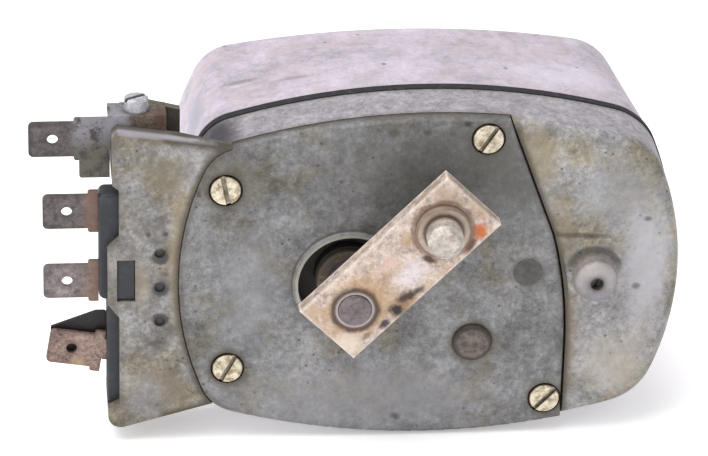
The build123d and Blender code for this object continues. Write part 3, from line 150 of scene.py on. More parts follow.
class Paint:
    """One procedural material on Object coordinates, counted in millimetres."""

    def __init__(self, name, roughness=0.6, metallic=0.0, coat=0.0):
        self.material = bpy.data.materials.new(name)
        self.material.use_nodes = True
        self.tree = self.material.node_tree
        self.surface = self.tree.nodes["Principled BSDF"]
        self.surface.inputs["Roughness"].default_value = roughness
        self.surface.inputs["Metallic"].default_value = metallic
        self.surface.inputs["Coat Weight"].default_value = coat
        here = self.node("ShaderNodeTexCoord", {}, {}, "Object")
        scale = (1 / MM, 1 / MM, 1 / MM)
        self.point = self.node("ShaderNodeMapping", {}, {"Vector": here, "Scale": scale})
        self.reliefs = []

    def node(self, kind, settings, sockets, output=0):
        """Adds a node, sets it up, fills or links its sockets and gives one of its outputs."""
        made = self.tree.nodes.new(kind)
        for name, value in settings.items():
            if name == "stops":
                self.set_stops(made.color_ramp, value)
            else:
                setattr(made, name, value)
        for name, value in sockets.items():
            socket = made.inputs[name]
            if isinstance(value, Signal):
                self.tree.links.new(value.socket, socket)
            elif socket.type == "RGBA":
                socket.default_value = (*tuple(value)[:3], 1.0)
            else:
                socket.default_value = value
        return Signal(self, made.outputs[output])

    @staticmethod
    def set_stops(ramp, stops):
        """Gives a colour ramp its stops: pairs of place and colour."""
        while len(ramp.elements) < len(stops):
            ramp.elements.new(1.0)
        for element, (place, colour) in zip(ramp.elements, stops):
            element.position = place
            element.color = (*colour, 1.0)

    def axis(self, name):
        """One coordinate in millimetres: X, Y or Z."""
        return self.node("ShaderNodeSeparateXYZ", {}, {"Vector": self.point}, name)

    def normal(self, name):
        """One part of the surface's direction."""
        facing = self.node("ShaderNodeTexCoord", {}, {}, "Normal")
        return self.node("ShaderNodeSeparateXYZ", {}, {"Vector": facing}, name)

    def moved(self, shift=(0, 0, 0), turn=(0, 0, 0), stretch=(1, 1, 1)):
        """Coordinates for a pattern centred, turned and stretched on the piece."""
        sockets = {"Vector": self.point, "Location": shift, "Rotation": turn, "Scale": stretch}
        return self.node("ShaderNodeMapping", {"vector_type": "TEXTURE"}, sockets)

    def length(self, vector):
        """Length of a vector."""
        return self.node("ShaderNodeVectorMath", {"operation": "LENGTH"}, {0: vector}, "Value")

    def cloud(self, grain, detail=4.0, rough=0.6, seed=0.0, stretch=(1, 1, 1)):
        """Soft noise whose grain is in millimetres, mostly from 0.25 to 0.75."""
        shift = (seed * 17, seed * 5, -seed * 11)
        sockets = {"Vector": self.moved(shift, stretch=stretch),
                   "Scale": 1 / grain, "Detail": detail, "Roughness": rough}
        return self.node("ShaderNodeTexNoise", {}, sockets, "Fac")

    def pits(self, grain, seed=0.0):
        """Distance to the nearest of scattered points, in grains."""
        sockets = {"Vector": self.moved((seed * 7, -seed * 3, seed * 13)), "Scale": 1 / grain}
        return self.node("ShaderNodeTexVoronoi", {"feature": "F1"}, sockets, "Distance")

    def spot(self, place, size, soft=0.5, turn=0.0, ragged=0.0):
        """1 inside an ellipse about a place, fading outwards; its edge may be ragged."""
        coordinates = self.moved(place, (0, turn, 0), size)
        reach = self.length(coordinates)
        if ragged:
            reach = reach + (self.cloud(1.1, 5, 0.7, place[0]) - 0.5) * ragged
        return reach.fade(1.0, 1.0 - soft)

    def ring(self, place, radius, width, ragged=0.0):
        """1 on a circle about an axis along Y, fading to 0 within the width on both sides."""
        flat = self.node("ShaderNodeMapping", {"vector_type": "TEXTURE"},
                         {"Vector": self.point, "Location": place, "Scale": NO_DEPTH})
        reach = self.length(flat)
        if ragged:
            reach = reach + (self.cloud(1.6, 5, 0.7, radius) - 0.5) * ragged
        return (reach - radius).size().fade(width, width * 0.25)

    def crevice(self, distance):
        """1 in corners narrower than the distance in millimetres, 0 in the open; used to paint
        grime and shade into corners.
        """
        sockets = {"Distance": distance * MM}
        return 1 - self.node("ShaderNodeAmbientOcclusion", {"samples": 6}, sockets, "AO")

    def edge(self, distance):
        """Rises towards 1 on outer edges, within the distance in millimetres."""
        sockets = {"Distance": distance * MM}
        settings = {"samples": 6, "inside": True, "only_local": True}
        return 1 - self.node("ShaderNodeAmbientOcclusion", settings, sockets, "AO")

    def mix(self, under, over, share):
        """Two colours, with the second one's share a number or a signal."""
        settings = {"data_type": "RGBA", "blend_type": "MIX", "clamp_factor": True}
        return self.node("ShaderNodeMix", settings, {0: share, 6: under, 7: over}, 2)

    def tones(self, signal, *stops):
        """Colours along a signal: pairs of place and colour."""
        return self.node("ShaderNodeValToRGB", {"stops": stops}, {"Fac": signal}, "Color")

    def relief(self, height, depth):
        """Adds bumps; the depth is in millimetres."""
        self.reliefs.append((height, depth))

    def done(self, colour, roughness=None, metallic=None):
        """Joins everything to the surface and gives the material."""
        wanted = {"Base Color": colour, "Roughness": roughness, "Metallic": metallic}
        for name, signal in wanted.items():
            if isinstance(signal, Signal):
                self.tree.links.new(signal.socket, self.surface.inputs[name])
            elif signal is not None:
                value = (*signal, 1.0) if name == "Base Color" else signal
                self.surface.inputs[name].default_value = value
        before = None
        for height, depth in self.reliefs:
            sockets = {"Height": height, "Distance": depth * MM, "Strength": 1.0}
            if before is not None:
                sockets["Normal"] = before
            before = self.node("ShaderNodeBump", {}, sockets)
        if before is not None:
            self.tree.links.new(before.socket, self.surface.inputs["Normal"])
        return self.material


# ---- Finishes -----------------------------------------------------------------


def casting_skin(paint, cool, warm, seed, warmth=0.5):
    """Weathered die casting: clouds of a cool and a warm tone, speckle, pores and a rough skin."""
    broad = paint.cloud(15, 3, 0.5, seed)
    fine = paint.cloud(3.4, 6, 0.75, seed + 1)
    grain = paint.cloud(0.9, 5, 0.8, seed + 2)
    tone = broad * 0.2 + fine * 0.4 + grain * 0.4
    cold = paint.tones(tone, (0.40, shade(cool, 0.48)), (0.5, cool), (0.60, shade(cool, 1.7)))
    brown = paint.tones(tone, (0.40, shade(warm, 0.42)), (0.5, warm), (0.60, shade(warm, 1.65)))
    patches = paint.cloud(8, 5, 0.65, seed + 3)
    colour = paint.mix(cold, brown, (patches + warmth - 0.5).fade(0.42, 0.6))
    pores = paint.pits(1.7, seed).fade(0.2, 0.06) * paint.cloud(5, 3, 0.6, seed + 4).fade(0.5, 0.62)
    colour = paint.mix(colour, shade(warm, 0.25), pores * 0.75)
    paint.relief(paint.cloud(1.6, 6, 0.75, seed + 5), 0.14)
    paint.relief(grain, 0.09)
    paint.relief(1 - pores, 0.14)
    return colour, fine, grain


def shade(tone, share):
    """A tone made darker or lighter."""
    return tuple(min(1.0, part * share) for part in tone)


def dusted(tone, share):
    """A tone under pale dust."""
    return tuple(min(1.0, part * share + 0.03) for part in tone)


def marked(paint, colour, marks):
    """Paints soft stains and a few painted shadows, each given as in the lists below."""
    for place, size, turn, ragged, tone, strength in marks:
        stain = paint.spot(place, size, STAIN_SOFTNESS, turn, ragged)
        colour = paint.mix(colour, tone, stain * strength)
    return colour


def dry_casting(paint, colour, fine, grain):
    """Joins a casting's colour to its uneven shine."""
    return paint.done(colour, 0.6 + (grain - 0.5) * 0.5, 0.2 + fine * 0.2)


# Stains and a few painted shadows: place and half sizes in millimetres, turn about Y in radians,
# raggedness of the outline, tone and strength.
STAIN_SOFTNESS = 0.75
OIL = (0.05, 0.037, 0.024)
SOOT = (0.028, 0.026, 0.027)
TAN = (0.36, 0.29, 0.18)
CHALK = (0.50, 0.49, 0.52)

COVER_MARKS = (
    ((4, FACE, 19), (36, 40, 15), 0.10, 0.5, (0.10, 0.098, 0.088), 0.6),
    ((-12, FACE, -24), (34, 40, 9), 0.0, 0.6, (0.36, 0.355, 0.385), 0.42),
    ((-31, FACE, -2), (8, 40, 16), 0.0, 0.6, (0.31, 0.31, 0.335), 0.38),
    ((-34, FACE, 19), (9, 40, 6), 0.5, 0.8, (0.15, 0.135, 0.09), 0.45),
    ((-7.1, FACE, 27.1), (1.7, 4, 1.3), 0.0, 0.7, OIL, 0.65),
    ((-1.3, FACE, 27.1), (1.1, 4, 0.9), 0.0, 0.7, OIL, 0.5),
    ((5.6, FACE, 28.6), (1.0, 4, 0.8), 0.0, 0.4, SOOT, 0.85),
    ((-5.4, FACE, -27.7), (1.3, 4, 0.9), 0.4, 0.6, SOOT, 0.6),
    # painted shadow of the crank arm on the cover
    ((-6.0, FACE, 6.0), (9.0, 6, 6.0), 0.7, 0.8, (0.06, 0.058, 0.052), 0.45),
    ((9.0, FACE, 21.0), (7.0, 4, 4.0), 0.0, 0.8, (0.12, 0.112, 0.09), 0.4),
    ((-3, FACE, -22), (14, 6, 5), 0.3, 0.9, (0.20, 0.195, 0.20), 0.4),
)
HOUSING_MARKS = (
    ((-43.6, FACE, 4), (2.2, 5, 19), 0.0, 0.8, TAN, 0.55),
    ((-45.6, FACE, 20), (6, 5, 6), 0.6, 0.9, (0.20, 0.165, 0.10), 0.5),
    ((-49, FACE, -22), (6, 5, 6), 0.3, 0.8, (0.34, 0.33, 0.35), 0.30),
    ((-44.8, FACE, -21), (3.5, 5, 8), -0.5, 0.8, (0.22, 0.175, 0.115), 0.5),
    ((-48.6, FACE, 8.8), (0.7, 3, 0.7), 0.0, 0.5, SOOT, 0.6),
    ((-45.7, FACE, 8.8), (0.7, 3, 0.7), 0.0, 0.5, SOOT, 0.7),
    ((-47.5, FACE, -12.2), (2.6, 3, 0.6), -0.2, 0.6, OIL, 0.4),
    ((-49.8, FACE, -1), (2.2, 3, 7), 0.0, 0.7, (0.40, 0.34, 0.26), 0.45),
    ((18.0, FACE, 22), (4.5, 5, 9), -0.35, 0.8, (0.30, 0.24, 0.14), 0.6),
    ((22.5, FACE, 10), (3.0, 5, 9), -0.3, 0.8, (0.22, 0.185, 0.115), 0.5),
    ((25.5, FACE, 7.0), (9, 5, 0.8), 0.05, 0.5, OIL, 0.6),
    ((24.5, FACE, 3.0), (6, 5, 3.4), 0.0, 0.7, (0.24, 0.21, 0.14), 0.45),
    ((32, FACE, 15), (10, 5, 9), 0.0, 0.7, (0.31, 0.31, 0.33), 0.55),
    ((37.5, FACE, 1), (6.5, 6, 19), 0.0, 0.7, CHALK, 0.7),
    ((33, FACE, -18), (9, 5, 8), 0.6, 0.7, (0.45, 0.42, 0.40), 0.6),
    ((24.5, FACE, -14), (2.6, 5, 13), 0.0, 0.8, (0.22, 0.17, 0.105), 0.6),
    ((37.5, FACE, 10.0), (1.0, 4, 0.7), 0.0, 0.6, SOOT, 0.6),
    ((36.0, FACE, -3.0), (1.1, 4, 0.9), 0.0, 0.7, SOOT, 0.6),
    # painted shadow where the rib meets the housing
    ((-37.0, -36.5, 24), (6.6, 10.5, 5.5), 0.0, 0.5, (0.07, 0.063, 0.075), 1.0),
    # painted shadow and dirt along the rib's rear edge
    ((-42.5, -39.6, 26), (3.6, 1.6, 3), 0.0, 0.5, (0.07, 0.058, 0.05), 0.9),
)
REAR_MARKS = (
    ((-31.5, -18.3, 25.8), (6.5, 1.1, 3), 0.25, 0.3, (0.20, 0.17, 0.19), 0.6),
    ((-22.5, -20.8, 27.8), (6.0, 1.0, 3), 0.12, 0.3, (0.24, 0.20, 0.22), 0.5),
    ((-39.6, -19, 20), (3.5, 9, 5), 0.0, 0.6, (0.33, 0.34, 0.42), 0.6),
    ((-6.5, -19.1, 29.1), (0.6, 0.8, 1), 0.0, 0.3, (0.10, 0.08, 0.09), 0.8),
    ((14.8, -20.3, 28.5), (0.6, 0.8, 1), 0.0, 0.3, (0.10, 0.08, 0.09), 0.8),
    ((24, -20, 27), (14, 7, 4), 0.0, 0.7, (0.74, 0.70, 0.80), 0.5),
    ((-16, -8, 27), (16, 4, 5), 0.0, 0.7, (0.47, 0.38, 0.40), 0.35),
)
ARM_MARKS = (
    ((-13.2, ARM_FACE, -0.6), (9.5, 4, 6.8), -0.80, 0.8, (0.42, 0.26, 0.12), 0.95),
    ((-5.2, ARM_FACE, -0.6), (4.4, 4, 3.4), -0.80, 0.9, (0.36, 0.21, 0.10), 0.85),
    ((-15.0, ARM_FACE, -7.6), (3.4, 4, 2.8), 0.0, 0.7, (0.74, 0.63, 0.52), 0.8),
    ((-21.5, ARM_FACE, -1.5), (2.4, 4, 2.4), 0.0, 0.7, (0.50, 0.36, 0.24), 0.6),
    ((-4.6, ARM_FACE, 5.6), (4.4, 4, 3.0), -0.80, 0.8, (0.74, 0.68, 0.71), 0.75),
    ((-8.4, ARM_FACE, 7.4), (3.0, 4, 1.7), -0.80, 0.9, (0.70, 0.50, 0.46), 0.6),
    ((1.0, ARM_FACE, 20.2), (4.6, 4, 2.2), 0.75, 0.8, (0.42, 0.31, 0.21), 0.65),
    ((6.4, ARM_FACE, 17.6), (3.2, 4, 1.8), 0.75, 0.8, (0.46, 0.33, 0.22), 0.6),
    ((-1.6, ARM_FACE, 8.3), (2.0, 4, 1.0), 0.5, 1.0, (0.07, 0.038, 0.024), 0.95),
    ((-5.5, ARM_FACE, 12.0), (1.4, 4, 2.6), -0.3, 0.9, (0.48, 0.33, 0.20), 0.6),
    ((7.0, ARM_FACE, 13.4), (1.9, 4, 2.4), 0.25, 0.9, (0.56, 0.15, 0.03), 0.95),
    ((5.4, ARM_FACE, 10.7), (1.1, 4, 2.6), 0.5, 0.9, (0.09, 0.035, 0.018), 0.9),
    ((-5.2, ARM_FACE, 1.2), (2.3, 4, 1.5), -0.5, 1.5, (0.05, 0.03, 0.026), 0.95),
    ((-6.6, ARM_FACE, -1.4), (2.2, 4, 1.9), -0.3, 1.6, (0.035, 0.024, 0.026), 1.0),
    ((-3.2, ARM_FACE, 2.3), (1.6, 4, 0.9), -0.7, 1.5, OIL, 0.9),
    ((-8.8, ARM_FACE, -4.0), (1.7, 4, 1.1), -0.6, 1.4, (0.04, 0.03, 0.04), 0.95),
    ((-11.8, ARM_FACE, -6.2), (1.8, 4, 0.8), -0.7, 1.3, (0.16, 0.09, 0.05), 0.7),
)


SCREW_HALO = (0.085, 0.072, 0.048)
AXLE_HALO = (0.13, 0.115, 0.072)
COVER_RIM = (0.07, 0.052, 0.034)
RECESS_SHADE = (0.03, 0.028, 0.025)
LIP_HIGHLIGHT = (0.50, 0.48, 0.42)


def paint_gear_cover():
    """Cover casting: stains, the arm's painted shadow, halos round screws and axles, dark rim,
    painted shade in the shaft's recess, a painted highlight on its lip, and grime with painted
    shade in corners.
    """
    paint = Paint("weathered gear cover", metallic=0.2)
    looks = bpy.context.scene.motor_castings
    cool, warm = tuple(looks.cover_tone), tuple(looks.stain_tone)
    colour, fine, grain = casting_skin(paint, cool, warm, 3.0, 0.44)
    colour = marked(paint, colour, COVER_MARKS)
    for x, z in COVER_SCREWS:
        halo = paint.spot((x, FACE, z), (4.6, 4.6, 4.6), 0.6, 0.0, 0.8)
        colour = paint.mix(colour, SCREW_HALO, halo * 0.65)
    for x, z, reach in ((*AXLE_2, 5.2), (*AXLE_1, 3.2)):
        halo = paint.spot((x, FACE, z), (reach, reach, reach), 0.45, 0.0, 0.5)
        colour = paint.mix(colour, AXLE_HALO, halo * 0.65)
    rim = paint.edge(1.5).fade(0.06, 0.4) * paint.cloud(4, 5, 0.7, 12).fade(0.25, 0.5)
    left = paint.axis("X").fade(-30, -35)
    right = paint.axis("X").fade(14, 18)
    worn = rim * left.most(right * 0.55).most(0.3)
    colour = paint.mix(colour, COVER_RIM, worn * 0.85)
    # painted shade: darker the deeper a point lies behind the cover's face, as in the shaft's
    # recess
    recess_shade = paint.axis("Y").fade(FACE + 0.4, FACE + 3.0)
    colour = paint.mix(colour, RECESS_SHADE, recess_shade * 0.75)
    # painted highlight on the raised lip round the shaft's recess
    lip_highlight = paint.spot((SHAFT[0], FACE, SHAFT[1]), (10.4, 3, 10.4), 0.06)
    lip_highlight = lip_highlight * paint.axis("Y").fade(FACE - 0.5, FACE - 0.85)
    colour = paint.mix(colour, LIP_HIGHLIGHT, lip_highlight * 0.7)
    # grime and painted shade in corners, in the oil tone
    grime_and_shade = paint.crevice(1.4).fade(0.15, 0.8)
    colour = paint.mix(colour, OIL, grime_and_shade * 0.8)
    return dry_casting(paint, colour, fine, grain)


HOUSING_WARM = (0.265, 0.235, 0.18)
BAND_DARK, BAND_MIDDLE, BAND_PALE = (0.19, 0.175, 0.20), (0.36, 0.335, 0.37), (0.55, 0.52, 0.57)
BRACKET_DULL = (0.105, 0.09, 0.072)
RIB_TOP_LIGHT = (0.44, 0.42, 0.47)
SHADE_BEHIND_RIB = (0.085, 0.07, 0.055)
SEAM_BROWN = (0.13, 0.10, 0.055)
BOSS_SHADED, BOSS_LIT = (0.24, 0.24, 0.27), (0.56, 0.51, 0.52)
BOSS_SHADOW_ARC = (0.05, 0.042, 0.035)
BRACKET_EDGE = (0.06, 0.044, 0.028)
PIP_SHADOW_AND_STAIN = (0.045, 0.045, 0.055)


def paint_front_housing():
    """Housing casting: pale band, brown bracket, boss, pips and stains; painted light on the rib's
    top and the boss's dome, painted shade behind the rib, round the boss, on the pips and in
    corners.
    """
    paint = Paint("weathered front housing", metallic=0.2)
    looks = bpy.context.scene.motor_castings
    cool = tuple(looks.housing_tone)
    colour, fine, grain = casting_skin(paint, cool, HOUSING_WARM, 5.0, 0.46)
    side = paint.axis("Y").fade(FACE + 0.9, FACE + 3.0) * paint.normal("Y").size().fade(0.9, 0.5)
    band = paint.tones(fine * 0.5 + grain * 0.5,
                       (0.36, BAND_DARK), (0.5, BAND_MIDDLE), (0.64, BAND_PALE))
    on_body = paint.axis("X").fade(-42, -36)
    colour = paint.mix(colour, band, side * on_body * 0.9)
    bracket = paint.axis("X").fade(-40, -44)
    dull = paint.cloud(3.2, 6, 0.75, 9.0).fade(0.42, 0.62) * bracket
    colour = paint.mix(colour, BRACKET_DULL, dull * 0.6)
    # painted light: the bracket's upward faces made paler
    lit_rib_top = paint.normal("Z").fade(0.6, 0.9) * paint.axis("Z").fade(20, 22) * bracket
    colour = paint.mix(colour, RIB_TOP_LIGHT, lit_rib_top * 0.75)
    # painted shade on the bracket behind its front rib
    behind = paint.axis("Y").fade(FACE + 2.0, FACE + 3.2) * paint.axis("X").fade(-37, -40)
    colour = paint.mix(colour, SHADE_BEHIND_RIB, behind * 0.8)
    colour = marked(paint, colour, HOUSING_MARKS)
    seam = paint.edge(1.8).fade(0.10, 0.40)
    colour = paint.mix(colour, SEAM_BROWN, seam * 0.35)
    # painted light and shade on the boss's dome, paler towards the top
    boss = paint.spot((BOSS[0], FACE - 3, BOSS[1]), (4.4, 6, 4.4), 0.2)
    height = paint.axis("Z") * 0.1
    dome_light_and_shade = paint.tones(height + fine * 0.5, (0.0, BOSS_SHADED), (0.5, BOSS_LIT))
    colour = paint.mix(colour, dome_light_and_shade, boss * 0.7)
    # painted shadow in an arc round the upper side of the boss's base
    shadow_arc = paint.ring((BOSS[0], 0, BOSS[1]), 4.5, 1.0, 0.8) * paint.axis("Z").fade(-0.5, 2.5)
    colour = paint.mix(colour, BOSS_SHADOW_ARC, shadow_arc * 0.75)
    inner = paint.axis("X").fade(-47.5, -45.5) * paint.axis("Z").size().fade(29, 27)
    line = paint.edge(1.5).fade(0.06, 0.4) * inner * paint.axis("Y").fade(FACE + 2.5, FACE + 1.5)
    colour = paint.mix(colour, BRACKET_EDGE, line * 0.85)
    # painted shadow and stain on each of the three pips
    for index in (-1, 0, 1):
        place = (MIDDLE_PIP[0], FACE, MIDDLE_PIP[1] + PIP_PITCH * index)
        pip_shadow_and_stain = paint.spot(place, (1.75, 3, 1.75), 0.4, 0.3, 0.6)
        colour = paint.mix(colour, PIP_SHADOW_AND_STAIN, pip_shadow_and_stain * 0.85)
    # grime and painted shade in corners, in the oil tone
    grime_and_shade = paint.crevice(1.6).fade(0.12, 0.75)
    colour = paint.mix(colour, OIL, grime_and_shade * 0.8)
    return dry_casting(paint, colour, fine, grain)


REAR_WARM = (0.52, 0.42, 0.44)
REAR_SPECKS = (0.14, 0.12, 0.13)
REAR_RUBBED = (0.30, 0.26, 0.29)
REAR_GRIME_AND_SHADE = (0.10, 0.09, 0.085)


def paint_rear_cover():
    """Pale casting with warm clouds, specks and rubbed streaks."""
    paint = Paint("pale rear cover", metallic=0.15)
    tone = tuple(bpy.context.scene.motor_castings.rear_tone)
    broad = paint.cloud(13, 4, 0.6, 1.0)
    fine = paint.cloud(2.6, 6, 0.75, 2.0)
    grain = paint.cloud(0.7, 5, 0.8, 4.0)
    mottle = broad * 0.35 + fine * 0.4 + grain * 0.25
    colour = paint.tones(mottle, (0.37, shade(tone, 0.6)), (0.5, tone), (0.63, shade(tone, 1.3)))
    warm = paint.cloud(7, 5, 0.66, 6.0).fade(0.48, 0.64)
    colour = paint.mix(colour, REAR_WARM, warm * 0.5)
    colour = marked(paint, colour, REAR_MARKS)
    specks = paint.pits(5.5, 3.0).fade(0.09, 0.03)
    colour = paint.mix(colour, REAR_SPECKS, specks * 0.6)
    rub = paint.cloud(2.0, 5, 0.75, 8.0, (5, 1, 1)).fade(0.56, 0.68)
    colour = paint.mix(colour, REAR_RUBBED, rub * 0.35)
    # grime and painted shade in corners
    grime_and_shade = paint.crevice(1.8).fade(0.1, 0.75)
    colour = paint.mix(colour, REAR_GRIME_AND_SHADE, grime_and_shade * 0.75)
    paint.relief(paint.cloud(1.6, 5, 0.7, 5.0), 0.11)
    paint.relief(grain, 0.07)
    paint.relief(1 - specks, 0.1)
    return paint.done(colour, 0.58 + (grain - 0.5) * 0.4)


def paint_gasket(name, tone, seed):
    """Dusty paper, felt or rubber."""
    paint = Paint(name, roughness=0.85)
    dust = paint.cloud(1.2, 5, 0.7, seed).fade(0.5, 0.75)
    paint.relief(paint.cloud(0.4, 3, 0.6, seed), 0.04)
    return paint.done(paint.mix(tone, dusted(tone, 3.0), dust * 0.6))


SLOT_DIRT_AND_SHADE = (0.05, 0.04, 0.03)


def paint_screws(name, tone, tarnish, seed, metallic=0.65):
    """Dull plated screws with dirt and painted shade in the slot and round the head."""
    paint = Paint(name, metallic=metallic)
    blotch = paint.cloud(1.3, 5, 0.75, seed)
    colour = paint.tones(blotch, (0.38, tarnish), (0.5, shade(tone, 0.75)), (0.6, tone))
    # dirt and painted shade in the slot and round the head
    grime_and_shade = paint.crevice(0.9).fade(0.1, 0.6)
    colour = paint.mix(colour, SLOT_DIRT_AND_SHADE, grime_and_shade * 0.85)
    paint.relief(paint.cloud(0.5, 4, 0.7, seed + 1), 0.05)
    return paint.done(colour, 0.42 + blotch * 0.3)


ARM_TAN = (0.48, 0.34, 0.20)
ARM_FLECKS = (0.20, 0.115, 0.065)
ARM_SHAFT_RING = (0.06, 0.035, 0.032)
ARM_PIN_RING = (0.20, 0.10, 0.065)
ARM_SIDE = (0.26, 0.19, 0.14)
ARM_EDGE_WEAR_AND_HIGHLIGHT = (0.88, 0.81, 0.76)


def paint_arm():
    """Worn plating on the arm, with rust, old oil, grime, and edge wear with a painted highlight.
    """
    paint = Paint("worn plated arm", metallic=0.3)
    tone = tuple(bpy.context.scene.motor_crank.arm_tone)
    blotch = paint.cloud(3.2, 6, 0.75, 1.5)
    fine = paint.cloud(0.9, 5, 0.8, 2.5)
    mottle = blotch * 0.5 + fine * 0.5
    colour = paint.tones(mottle, (0.40, shade(tone, 0.5)), (0.5, tone), (0.58, shade(tone, 1.3)))
    tan = paint.cloud(2.6, 6, 0.75, 4.5).fade(0.5, 0.6)
    colour = paint.mix(colour, ARM_TAN, tan * 0.5)
    colour = marked(paint, colour, ARM_MARKS)
    flecks = paint.cloud(0.6, 5, 0.8, 3.7).fade(0.56, 0.66)
    colour = paint.mix(colour, ARM_FLECKS, flecks * 0.45)
    ring = paint.ring((SHAFT[0], 0, SHAFT[1]), 3.4, 1.4, 1.4)
    colour = paint.mix(colour, ARM_SHAFT_RING, ring * 0.9)
    halo = paint.ring((PIN[0], 0, PIN[1]), 5.1, 0.7, 1.6)
    colour = paint.mix(colour, ARM_PIN_RING, halo * 0.6)
    side = paint.axis("Y").fade(ARM_FACE + 0.7, ARM_FACE + 1.2)
    dirt = paint.cloud(1.6, 5, 0.75, 6.5).fade(0.46, 0.6)
    colour = paint.mix(colour, ARM_SIDE, side * dirt * 0.7)
    # edge wear and a painted highlight along the arm's outer edges
    edge_wear_and_highlight = paint.edge(0.8).fade(0.12, 0.45)
    colour = paint.mix(colour, ARM_EDGE_WEAR_AND_HIGHLIGHT, edge_wear_and_highlight * 0.65)
    paint.relief(blotch, 0.14)
    paint.relief(fine, 0.09)
    return paint.done(colour, 0.45 + fine * 0.3)


COLLAR_BROWN = (0.40, 0.30, 0.23)
COLLAR_LINE = (0.16, 0.09, 0.06)
PIN_RUST = (0.30, 0.18, 0.11)
PIN_GRIME_AND_SHADE = (0.06, 0.045, 0.035)


def paint_pin():
    """Bright worn pin on a browner collar."""
    paint = Paint("worn crank pin", metallic=0.5)
    blotch = paint.cloud(1.6, 5, 0.75, 7.5)
    tone = tuple(bpy.context.scene.motor_crank.pin_tone)
    colour = paint.tones(blotch, (0.38, shade(tone, 0.55)), (0.58, tone), (0.66, shade(tone, 1.3)))
    collar = paint.axis("Y").fade(ARM_FACE - 2.6, ARM_FACE - 1.2)
    colour = paint.mix(colour, COLLAR_BROWN, collar * (0.3 + blotch * 0.6))
    for radius, width in ((3.2, 0.6), (4.7, 0.5)):
        line = paint.ring((PIN[0], 0, PIN[1]), radius, width, 0.5) * collar
        colour = paint.mix(colour, COLLAR_LINE, line * 0.7)
    lines = paint.cloud(0.35, 3, 0.6, 3.3, (1, 0.2, 1))
    rust = paint.cloud(1.1, 5, 0.75, 8.5).fade(0.52, 0.66)
    colour = paint.mix(colour, PIN_RUST, rust * 0.4)
    # grime and painted shade in corners
    grime_and_shade = paint.crevice(1.2).fade(0.1, 0.7)
    colour = paint.mix(colour, PIN_GRIME_AND_SHADE, grime_and_shade * 0.8)
    paint.relief(blotch, 0.08)
    paint.relief(lines, 0.02)
    return paint.done(colour, 0.36 + blotch * 0.35)


BUTTON_DARK, BUTTON_PALE = (0.075, 0.06, 0.052), (0.19, 0.16, 0.14)
BUTTON_RIM = (0.045, 0.036, 0.026)


def paint_button():
    """Riveted axle end: a browned disc with a dark rim."""
    paint = Paint("browned axle end", metallic=0.4)
    blotch = paint.cloud(1.5, 5, 0.75, 6.5)
    colour = paint.tones(blotch, (0.40, BUTTON_DARK), (0.60, BUTTON_PALE))
    rim = paint.ring((AXLE_2[0], 0, AXLE_2[1]), 3.3, 1.0, 0.5)
    colour = paint.mix(colour, BUTTON_RIM, rim * 0.8)
    paint.relief(blotch, 0.08)
    return paint.done(colour, 0.5)


def paint_metal(name, tone, tarnish, seed, rough=0.45, metallic=0.8, turned=False):
    """Bare or oxidised metal; turned surfaces get fine rings along Y."""
    paint = Paint(name, metallic=metallic)
    blotch = paint.cloud(1.8, 6, 0.72, seed)
    colour = paint.tones(blotch, (0.36, tarnish), (0.62, tone))
    paint.relief(paint.cloud(0.7, 5, 0.7, seed + 1), 0.05)
    if turned:
        paint.relief(paint.cloud(0.15, 2, 0.5, seed + 2, (9, 1, 9)), 0.01)
    return paint.done(colour, rough + (blotch - 0.5) * 0.4)


def oxide(paint, tone, tarnish, seed):
    """Blotchy oxide of a strip, darker along its edges."""
    blotch = paint.cloud(2.2, 6, 0.78, seed)
    fine = paint.cloud(0.7, 5, 0.8, seed + 1)
    colour = paint.tones(blotch * 0.5 + fine * 0.5,
                         (0.40, tarnish), (0.5, tone), (0.60, shade(tone, 1.7)))
    colour = paint.mix(colour, tarnish, paint.edge(0.9).fade(0.15, 0.55) * 0.5)
    paint.relief(blotch, 0.09)
    paint.relief(fine, 0.06)
    return colour, fine


def paint_blades(name, tone, copper, seed):
    """Oxidised blade, coppery where it leaves the block."""
    paint = Paint(name, metallic=0.35)
    colour, fine = oxide(paint, tone, shade(tone, 0.4), seed)
    root = paint.axis("X").fade(BLADE_ROOT, BLADE_ROOT + 2.0)
    colour = paint.mix(colour, copper, root * (0.2 + fine * 0.8))
    return paint.done(colour, 0.5 + (fine - 0.5) * 0.5)


LEAF_PINK, LEAF_TARNISH = (0.25, 0.175, 0.15), (0.085, 0.05, 0.04)
REAR_LEAF = (0.022, 0.018, 0.019)
LEAF_YELLOW = (0.46, 0.33, 0.16)


def paint_lower_blade():
    """Pinkish front leaf with a nearly black leaf behind it."""
    paint = Paint("pink copper blade", metallic=0.35)
    colour, fine = oxide(paint, LEAF_PINK, LEAF_TARNISH, 2.9)
    behind = paint.axis("Y").fade(FRONT_LEAF_BACK, FRONT_LEAF_BACK + 0.15)
    colour = paint.mix(colour, REAR_LEAF, behind)
    yellow = paint.spot((-61, -39, -18), (2.6, 4, 1.6), 0.8, 0.0, 0.8)
    colour = paint.mix(colour, LEAF_YELLOW, yellow * 0.5)
    return paint.done(colour, 0.5 + (fine - 0.5) * 0.5)


PLATE_LOW, PLATE_HIGH = (0.12, 0.118, 0.09), (0.26, 0.25, 0.28)
STRIP_DARK, STRIP_PALE = (0.045, 0.032, 0.026), (0.19, 0.15, 0.105)
STRIP_WORN = (0.38, 0.37, 0.41)
STRIP_RED = (0.09, 0.03, 0.022)


